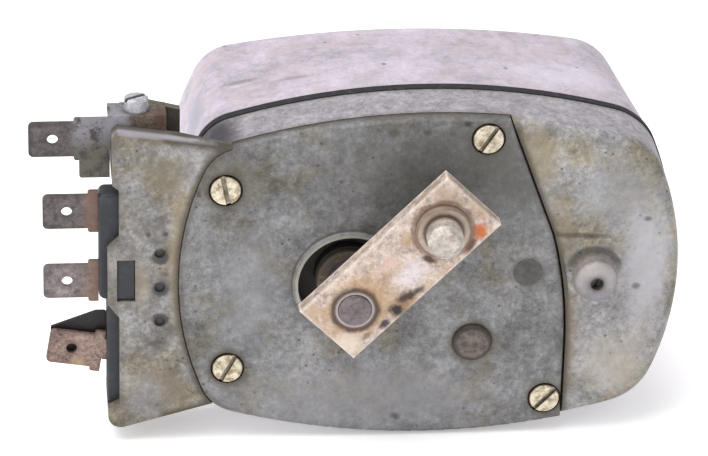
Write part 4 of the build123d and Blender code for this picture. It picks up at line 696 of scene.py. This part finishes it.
def paint_earth_strip():
    """Blade, root plate and folded strip, each with its own oxide."""
    paint = Paint("oxidised earth strip", metallic=0.35)
    blade = tuple(bpy.context.scene.motor_terminals.blade_tone)
    colour, fine = oxide(paint, shade(blade, 0.85), shade(blade, 0.35), 4.3)
    along = paint.axis("X")
    plate = paint.mix(PLATE_LOW, PLATE_HIGH, paint.axis("Z").fade(22, 27))
    plate = paint.mix(plate, shade(blade, 0.5), paint.cloud(2.0, 6, 0.75, 5.3).fade(0.46, 0.6))
    colour = paint.mix(colour, plate, along.fade(-62.0, -60.6) * 0.85)
    strip = paint.tones(fine, (0.36, STRIP_DARK), (0.6, STRIP_PALE))
    colour = paint.mix(colour, strip, along.fade(-52.6, -50.4) * 0.9)
    worn = paint.spot((-53.6, -40, 28), (2.6, 9, 3.4), 0.7, 0.0, 0.6)
    colour = paint.mix(colour, STRIP_WORN, worn * 0.7)
    red = paint.spot((-46.3, -39, 28.6), (1.8, 6, 2.6), 0.7, 0.0, 0.7)
    colour = paint.mix(colour, STRIP_RED, red * 0.7)
    return paint.done(colour, 0.55 + (fine - 0.5) * 0.5)


def paint_moulding(name, tone, seed, glossy=0.5):
    """Moulded or pressed insulator with dust on it."""
    paint = Paint(name)
    dust = paint.cloud(2.4, 6, 0.7, seed).fade(0.48, 0.72)
    paint.relief(paint.cloud(0.5, 4, 0.65, seed + 1), 0.03)
    return paint.done(paint.mix(tone, dusted(tone, 2.4), dust * 0.55), glossy + dust * 0.2)


# Fine patterns, in radians to the millimetre.
WEAVE_WAVE = 9
SHEET_WAVE = 2 * math.pi / 0.5
WIRE_WAVE = 16

FIBRE_DARK, FIBRE_PALE = (0.22, 0.14, 0.07), (0.44, 0.30, 0.16)
SHEET_DARK, SHEET_PALE, SHEET_LINE = (0.09, 0.085, 0.085), (0.24, 0.23, 0.23), (0.03, 0.03, 0.03)
WIRE_DARK, WIRE_PALE = (0.14, 0.045, 0.015), (0.52, 0.20, 0.07)


def paint_fibre():
    """Woven fibre laminate of the gear wheels."""
    paint = Paint("woven fibre laminate", roughness=0.55)
    across = (paint.axis("X") * WEAVE_WAVE).sine()
    along = (paint.axis("Z") * WEAVE_WAVE).sine()
    weave = across * along
    tone = paint.cloud(2.5, 4, 0.6, 2.2) + weave * 0.06
    colour = paint.tones(tone, (0.36, FIBRE_DARK), (0.64, FIBRE_PALE))
    paint.relief(weave, 0.02)
    return paint.done(colour)


def paint_laminations():
    """Stack of sheets, seen as fine lines along Y."""
    paint = Paint("varnished laminations", metallic=0.6)
    lines = (paint.axis("Y") * SHEET_WAVE).sine()
    varnish = paint.cloud(3.0, 4, 0.6, 3.2)
    colour = paint.tones(varnish, (0.35, SHEET_DARK), (0.65, SHEET_PALE))
    colour = paint.mix(colour, SHEET_LINE, lines.fade(0.6, 1.0) * 0.6)
    paint.relief(lines, 0.04)
    return paint.done(colour, 0.5)


def paint_winding():
    """Enamelled wire, seen as fine turns."""
    paint = Paint("enamelled copper wire", metallic=0.5, coat=0.5)
    turns = (paint.axis("Y") * WIRE_WAVE + paint.cloud(2.0, 3, 0.5, 4.1) * 5).sine()
    colour = paint.tones(turns * 0.5 + 0.5, (0.2, WIRE_DARK), (0.8, WIRE_PALE))
    paint.relief(turns, 0.08)
    return paint.done(colour, 0.35)


def finishes():
    """The material of every CAD node."""
    looks = bpy.context.scene.motor_terminals
    blade, copper = tuple(looks.blade_tone), tuple(looks.copper_tone)
    steel = paint_metal("dull steel", (0.46, 0.45, 0.44), (0.22, 0.20, 0.18), 1.1, turned=True)
    bronze = paint_metal("sintered bronze", (0.52, 0.33, 0.15), (0.30, 0.18, 0.08), 2.1, 0.5)
    brass = paint_metal("dull brass", (0.62, 0.45, 0.19), (0.36, 0.25, 0.11), 3.1)
    spring = paint_metal("blued spring steel", (0.20, 0.22, 0.26), (0.10, 0.10, 0.12), 4.1, 0.35)
    zinc = paint_screws("dull zinc screws", (0.50, 0.50, 0.52), (0.20, 0.19, 0.18), 5.1)
    fibre, lamination, winding = paint_fibre(), paint_laminations(), paint_winding()
    board = paint_moulding("brown paper laminate", (0.24, 0.12, 0.06), 6.1)
    return {
        "front_housing": paint_front_housing(),
        "gear_cover": paint_gear_cover(),
        "gear_cover_gasket": paint_gasket("oiled gasket paper", (0.08, 0.06, 0.04), 1.0),
        "gear_cover_screws": paint_screws("nickel cover screws", (0.80, 0.72, 0.56),
                                          (0.30, 0.22, 0.13), 2.3),
        "body_gasket": paint_gasket("black joint rubber", (0.016, 0.015, 0.02), 2.0),
        "rear_cover": paint_rear_cover(),
        "cover_bolts": zinc,
        "thrust_screw": paint_metal("dark thrust screw", (0.10, 0.09, 0.085),
                                    (0.03, 0.028, 0.026), 7.2),
        "axle_1": paint_metal("dark axle end", (0.115, 0.11, 0.105), (0.06, 0.055, 0.05),
                              5.5, 0.5, 0.5),
        "axle_2": paint_button(),
        "output_front_bush": bronze,
        "output_rear_bush": bronze,
        "armature_front_bush": bronze,
        "armature_rear_bush": bronze,
        "output_shaft": paint_metal("ground output shaft", (0.21, 0.18, 0.195),
                                    (0.10, 0.075, 0.07), 8.5, 0.4, 0.7, True),
        "output_gear": fibre,
        "gear_1_wheel": fibre,
        "gear_2_wheel": fibre,
        "output_washer": steel,
        "output_clip": spring,
        "brush_springs": spring,
        "shaft_seal": paint_gasket("felt seal", (0.10, 0.08, 0.06), 3.0),
        "park_disc": brass,
        "park_finger_upper": brass,
        "park_finger_middle": brass,
        "brush_holders": brass,
        "crank_arm": paint_arm(),
        "crank_pin": paint_pin(),
        "gear_1_pinion": steel,
        "gear_2_pinion": steel,
        "armature_pinion": steel,
        "armature_shaft": steel,
        "armature_core": lamination,
        "field_core": lamination,
        "armature_winding": winding,
        "field_coil": winding,
        "commutator": paint_metal("turned copper", (0.60, 0.28, 0.15), (0.32, 0.14, 0.08),
                                  9.1, 0.35, 0.9),
        "field_bobbin": board,
        "brush_plate": board,
        "brushes": paint_metal("carbon", (0.06, 0.06, 0.065), (0.03, 0.03, 0.03), 9.7, 0.6, 0.1),
        "terminal_block": paint_moulding("black moulding", (0.016, 0.018, 0.024), 7.1, 0.45),
        "terminal_upper": paint_blades("oxidised upper blade", blade, copper, 1.7),
        "terminal_middle": paint_blades("oxidised middle blade", shade(blade, 1.75), copper, 2.4),
        "terminal_lower": paint_lower_blade(),
        "earth_terminal": paint_earth_strip(),
        "earth_screw": paint_screws("pale earth screw", (0.58, 0.58, 0.63),
                                    (0.34, 0.33, 0.36), 5.7, 0.4),
    }


# ---- Sizes and colours ----------------------------------------------------------


def colour_property(name, description, default):
    """Colour that a user can change."""
    return FloatVectorProperty(name=name, description=description, default=default,
                               subtype="COLOR", size=3, min=0.0, max=1.0)


class MotorCastings(PropertyGroup):
    """Tones of the castings."""

    cover_tone: colour_property("Gear cover", "Cool tone of the gear cover", (0.205, 0.203, 0.208))
    housing_tone: colour_property("Front housing", "Cool tone of the housing", (0.29, 0.283, 0.282))
    rear_tone: colour_property("Rear cover", "Middle tone of the rear cover", (0.53, 0.475, 0.545))
    stain_tone: colour_property("Stain", "Warm tone of the old oil stains", (0.18, 0.166, 0.135))


class MotorCrank(PropertyGroup):
    """Tones of the crank."""

    arm_tone: colour_property("Crank arm", "Middle tone of the arm's plating", (0.58, 0.475, 0.42))
    pin_tone: colour_property("Crank pin", "Middle tone of the pin", (0.60, 0.55, 0.50))


class MotorTerminals(PropertyGroup):
    """Tones of the push-on blades."""

    blade_tone: colour_property("Blades", "Middle tone of the oxidised blades", (0.12, 0.10, 0.10))
    copper_tone: colour_property("Blade roots", "Tone where the strips are coppery",
                                 (0.22, 0.125, 0.085))


class MotorSprings(PropertyGroup):
    """Sizes of the brush springs."""

    wire: FloatProperty(name="Wire", description="Thickness of the spring wire", default=0.00035,
                        unit="LENGTH", subtype="DISTANCE", precision=5)
    length: FloatProperty(name="Length", description="Length of one spring as fitted",
                          default=0.00474, unit="LENGTH", subtype="DISTANCE", precision=5)
    turns: IntProperty(name="Turns", description="Number of turns", default=6, min=1)


class MotorStage(PropertyGroup):
    """Camera and floor."""

    azimuth: FloatProperty(name="Azimuth", description="Camera angle round Z",
                           default=math.radians(-7), unit="ROTATION", subtype="ANGLE")
    elevation: FloatProperty(name="Elevation", description="Camera angle above the horizon",
                             default=math.radians(27), unit="ROTATION", subtype="ANGLE")
    roll: FloatProperty(name="Roll", description="Clockwise turn of the picture",
                        default=math.radians(2), unit="ROTATION", subtype="ANGLE")
    distance: FloatProperty(name="Distance", description="From the camera to the motor's face",
                            default=0.7, unit="LENGTH", subtype="DISTANCE")
    lens: FloatProperty(name="Lens", description="Focal length", default=206.4, unit="CAMERA")
    floor_tone: colour_property("Floor", "Colour of the floor", (0.95, 0.95, 0.955))


# ---- Operators ------------------------------------------------------------------


class MOTOR_OT_finishes(Operator):
    """Give every piece of the motor its own finish"""

    bl_idname = "motor.finishes"
    bl_label = "Finishes"

    def execute(self, context):
        chosen = finishes()
        missing = set(NODES) ^ set(chosen)
        if missing:
            raise RuntimeError(f"pieces and finishes don't match: {sorted(missing)}")
        for name, material in chosen.items():
            mesh = NODES[name].data
            mesh.materials.clear()
            mesh.materials.append(material)
        return {"FINISHED"}


WIRE_SIDES = 12
TURN_STEPS = 32
WIRE_PLAY = 0.98  # keeps the wound wire inside the springs' envelope


class MOTOR_OT_brush_springs(Operator):
    """Wind the two coil springs that press on the brushes"""

    bl_idname = "motor.brush_springs"
    bl_label = "Brush springs"

    def execute(self, context):
        sizes = context.scene.motor_springs
        low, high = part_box("brush_springs")
        half_wire = sizes.wire / 2
        reach = (high.x - low.x) / 2 - half_wire
        axis = ((low.x + high.x) / 2, (low.y + high.y) / 2)
        rise = (sizes.length - sizes.wire) / sizes.turns
        bpy.ops.object.select_all(action="DESELECT")
        bpy.ops.mesh.primitive_circle_add(vertices=WIRE_SIDES, radius=half_wire * WIRE_PLAY,
                                          location=(reach, 0, 0), rotation=(math.pi / 2, 0, 0))
        spring = context.object
        spring.name = "brush_spring_upper"
        bpy.ops.object.transform_apply(location=True, rotation=True)
        winding = spring.modifiers.new("winding", "SCREW")
        winding.axis = "Z"
        winding.screw_offset = rise
        winding.iterations = sizes.turns
        winding.steps = winding.render_steps = TURN_STEPS
        bpy.ops.object.modifier_apply(modifier="winding")
        bpy.ops.object.mode_set(mode="EDIT")
        bpy.ops.mesh.select_all(action="SELECT")
        bpy.ops.mesh.remove_doubles(threshold=half_wire * 0.01)
        bpy.ops.mesh.select_all(action="DESELECT")
        bpy.ops.mesh.select_non_manifold()
        bpy.ops.mesh.fill_holes(sides=0)
        bpy.ops.mesh.select_all(action="SELECT")
        bpy.ops.mesh.normals_make_consistent(inside=False)
        bpy.ops.object.mode_set(mode="OBJECT")
        bpy.ops.object.shade_smooth_by_angle(angle=math.radians(40))
        bpy.ops.transform.translate(value=(*axis, high.z - sizes.length + half_wire))
        bpy.ops.object.transform_apply(location=True)
        spring.data.materials.append(paint_metal("brush spring steel", (0.42, 0.42, 0.44),
                                                 (0.16, 0.15, 0.15), 10.3, 0.35, 0.9))
        bpy.ops.object.duplicate(linked=False)
        second = context.object
        second.name = "brush_spring_lower"
        bpy.ops.transform.translate(value=(0, 0, low.z - high.z + sizes.length))
        bpy.ops.object.transform_apply(location=True)
        for piece in (spring, second):
            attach(piece, "housing")
            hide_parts("brush_springs")
        return {"FINISHED"}


# Lamps: place and size in metres, power in watts.
SOFTBOXES = {
    "softbox above": ((-0.25, -0.15, 0.9), 0.7, 7.0),
    "softbox left": ((-0.7, -0.6, 0.35), 0.5, 1.6),
}


def add_softbox(name, place, size, power):
    """Large square lamp that faces the motor."""
    lamp = bpy.data.lights.new(name, "AREA")
    lamp.size = size
    lamp.energy = power
    holder = bpy.data.objects.new(name, lamp)
    holder.location = place
    holder.rotation_mode = "QUATERNION"
    holder.rotation_quaternion = (-Vector(place)).to_track_quat("-Z", "Y")
    bpy.context.scene.collection.objects.link(holder)


PICTURE = (708, 456)
AIM = (-0.44, FACE, 1.89)
AIM_PIXEL = (428, 265)
SENSOR_WIDTH = 36.0
FLOOR_SIZE = 6.0
FLOOR_GAP = 0.0002
FLOOR_GLOW = 0.3
FLOOR_UNEVEN = (0.93, 0.93, 0.935)
WHITE = (1.0, 1.0, 1.0, 1.0)
SURROUNDING_LIGHT = 0.62


def place_camera(stage):
    """Camera turned so that the aimed point of the motor's face stands on its pixel."""
    width, height = PICTURE
    target = Vector(AIM) * MM
    cos_e = math.cos(stage.elevation)
    back = Vector((math.sin(stage.azimuth) * cos_e, -math.cos(stage.azimuth) * cos_e,
                   math.sin(stage.elevation)))
    right = Vector((0, 0, 1)).cross(back).normalized()
    up = back.cross(right)
    right, up = (right * math.cos(stage.roll) + up * math.sin(stage.roll),
                 up * math.cos(stage.roll) - right * math.sin(stage.roll))
    camera = bpy.data.cameras.new("camera")
    camera.lens = stage.lens
    camera.sensor_width = SENSOR_WIDTH
    camera.clip_start = 0.05
    focal = width * camera.lens / camera.sensor_width
    ahead = (right * (width / 2 - AIM_PIXEL[0]) + up * (AIM_PIXEL[1] - height / 2)
             - back * focal).normalized()
    right = ahead.cross(up).normalized()
    up = right.cross(ahead)
    holder = bpy.data.objects.new("camera", camera)
    turned = Matrix((right, up, -ahead)).transposed().to_4x4()
    holder.matrix_world = Matrix.Translation(target + back * stage.distance) @ turned
    bpy.context.scene.collection.objects.link(holder)
    bpy.context.scene.camera = holder


class MOTOR_OT_stage(Operator):
    """Add the floor, the lamps and the camera"""

    bl_idname = "motor.stage"
    bl_label = "Stage"

    def execute(self, context):
        scene = context.scene
        bpy.ops.object.select_all(action="DESELECT")
        bpy.ops.mesh.primitive_plane_add(size=FLOOR_SIZE,
                                         location=(0, 0, CAD_BOX[0].z - FLOOR_GAP))
        floor = context.object
        floor.name = "floor"
        bpy.ops.object.transform_apply(location=True)
        paint = Paint("studio floor", roughness=0.9)
        tone = tuple(scene.motor_stage.floor_tone)
        uneven = paint.cloud(60, 3, 0.5, 1.0)
        paint.surface.inputs["Emission Color"].default_value = WHITE
        paint.surface.inputs["Emission Strength"].default_value = FLOOR_GLOW
        colour = paint.mix(tone, FLOOR_UNEVEN, uneven * 0.3)
        floor.data.materials.append(paint.done(colour))
        world = scene.world or bpy.data.worlds.new("studio")
        scene.world = world
        world.use_nodes = True
        background = world.node_tree.nodes["Background"]
        background.inputs["Color"].default_value = WHITE
        background.inputs["Strength"].default_value = SURROUNDING_LIGHT
        scene.view_settings.view_transform = "Standard"
        scene.view_settings.look = "None"
        for name, (place, size, power) in SOFTBOXES.items():
            add_softbox(name, place, size, power)
        place_camera(scene.motor_stage)
        return {"FINISHED"}


class MOTOR_PT_panel(Panel):
    """Sizes, colours and steps of the motor"""

    bl_idname = "MOTOR_PT_panel"
    bl_label = "Wiper motor"
    bl_space_type = "VIEW_3D"
    bl_region_type = "UI"
    bl_category = "Wiper motor"

    def draw(self, context):
        for group in GROUPS:
            settings = getattr(context.scene, group)
            box = self.layout.box()
            for name in settings.bl_rna.properties.keys():
                if name not in ("rna_type", "name"):
                    box.prop(settings, name)
        for operator in OPERATORS:
            self.layout.operator(operator.bl_idname)


GROUPS = {
    "motor_castings": MotorCastings,
    "motor_crank": MotorCrank,
    "motor_terminals": MotorTerminals,
    "motor_springs": MotorSprings,
    "motor_stage": MotorStage,
}
OPERATORS = (MOTOR_OT_finishes, MOTOR_OT_brush_springs, MOTOR_OT_stage)


def register():
    """Adds the settings, the operators and the panel."""
    for group, kind in GROUPS.items():
        bpy.utils.register_class(kind)
        setattr(bpy.types.Scene, group, PointerProperty(type=kind))
    for kind in (*OPERATORS, MOTOR_PT_panel):
        bpy.utils.register_class(kind)


def unregister():
    """Takes them away again, in the opposite order."""
    for kind in (MOTOR_PT_panel, *reversed(OPERATORS)):
        bpy.utils.unregister_class(kind)
    for group, kind in GROUPS.items():
        delattr(bpy.types.Scene, group)
        bpy.utils.unregister_class(kind)


def main():
    """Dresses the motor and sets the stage."""
    register()
    bpy.ops.motor.finishes()
    bpy.ops.motor.brush_springs()
    bpy.ops.motor.stage()


if __name__ == "__main__":
    main()
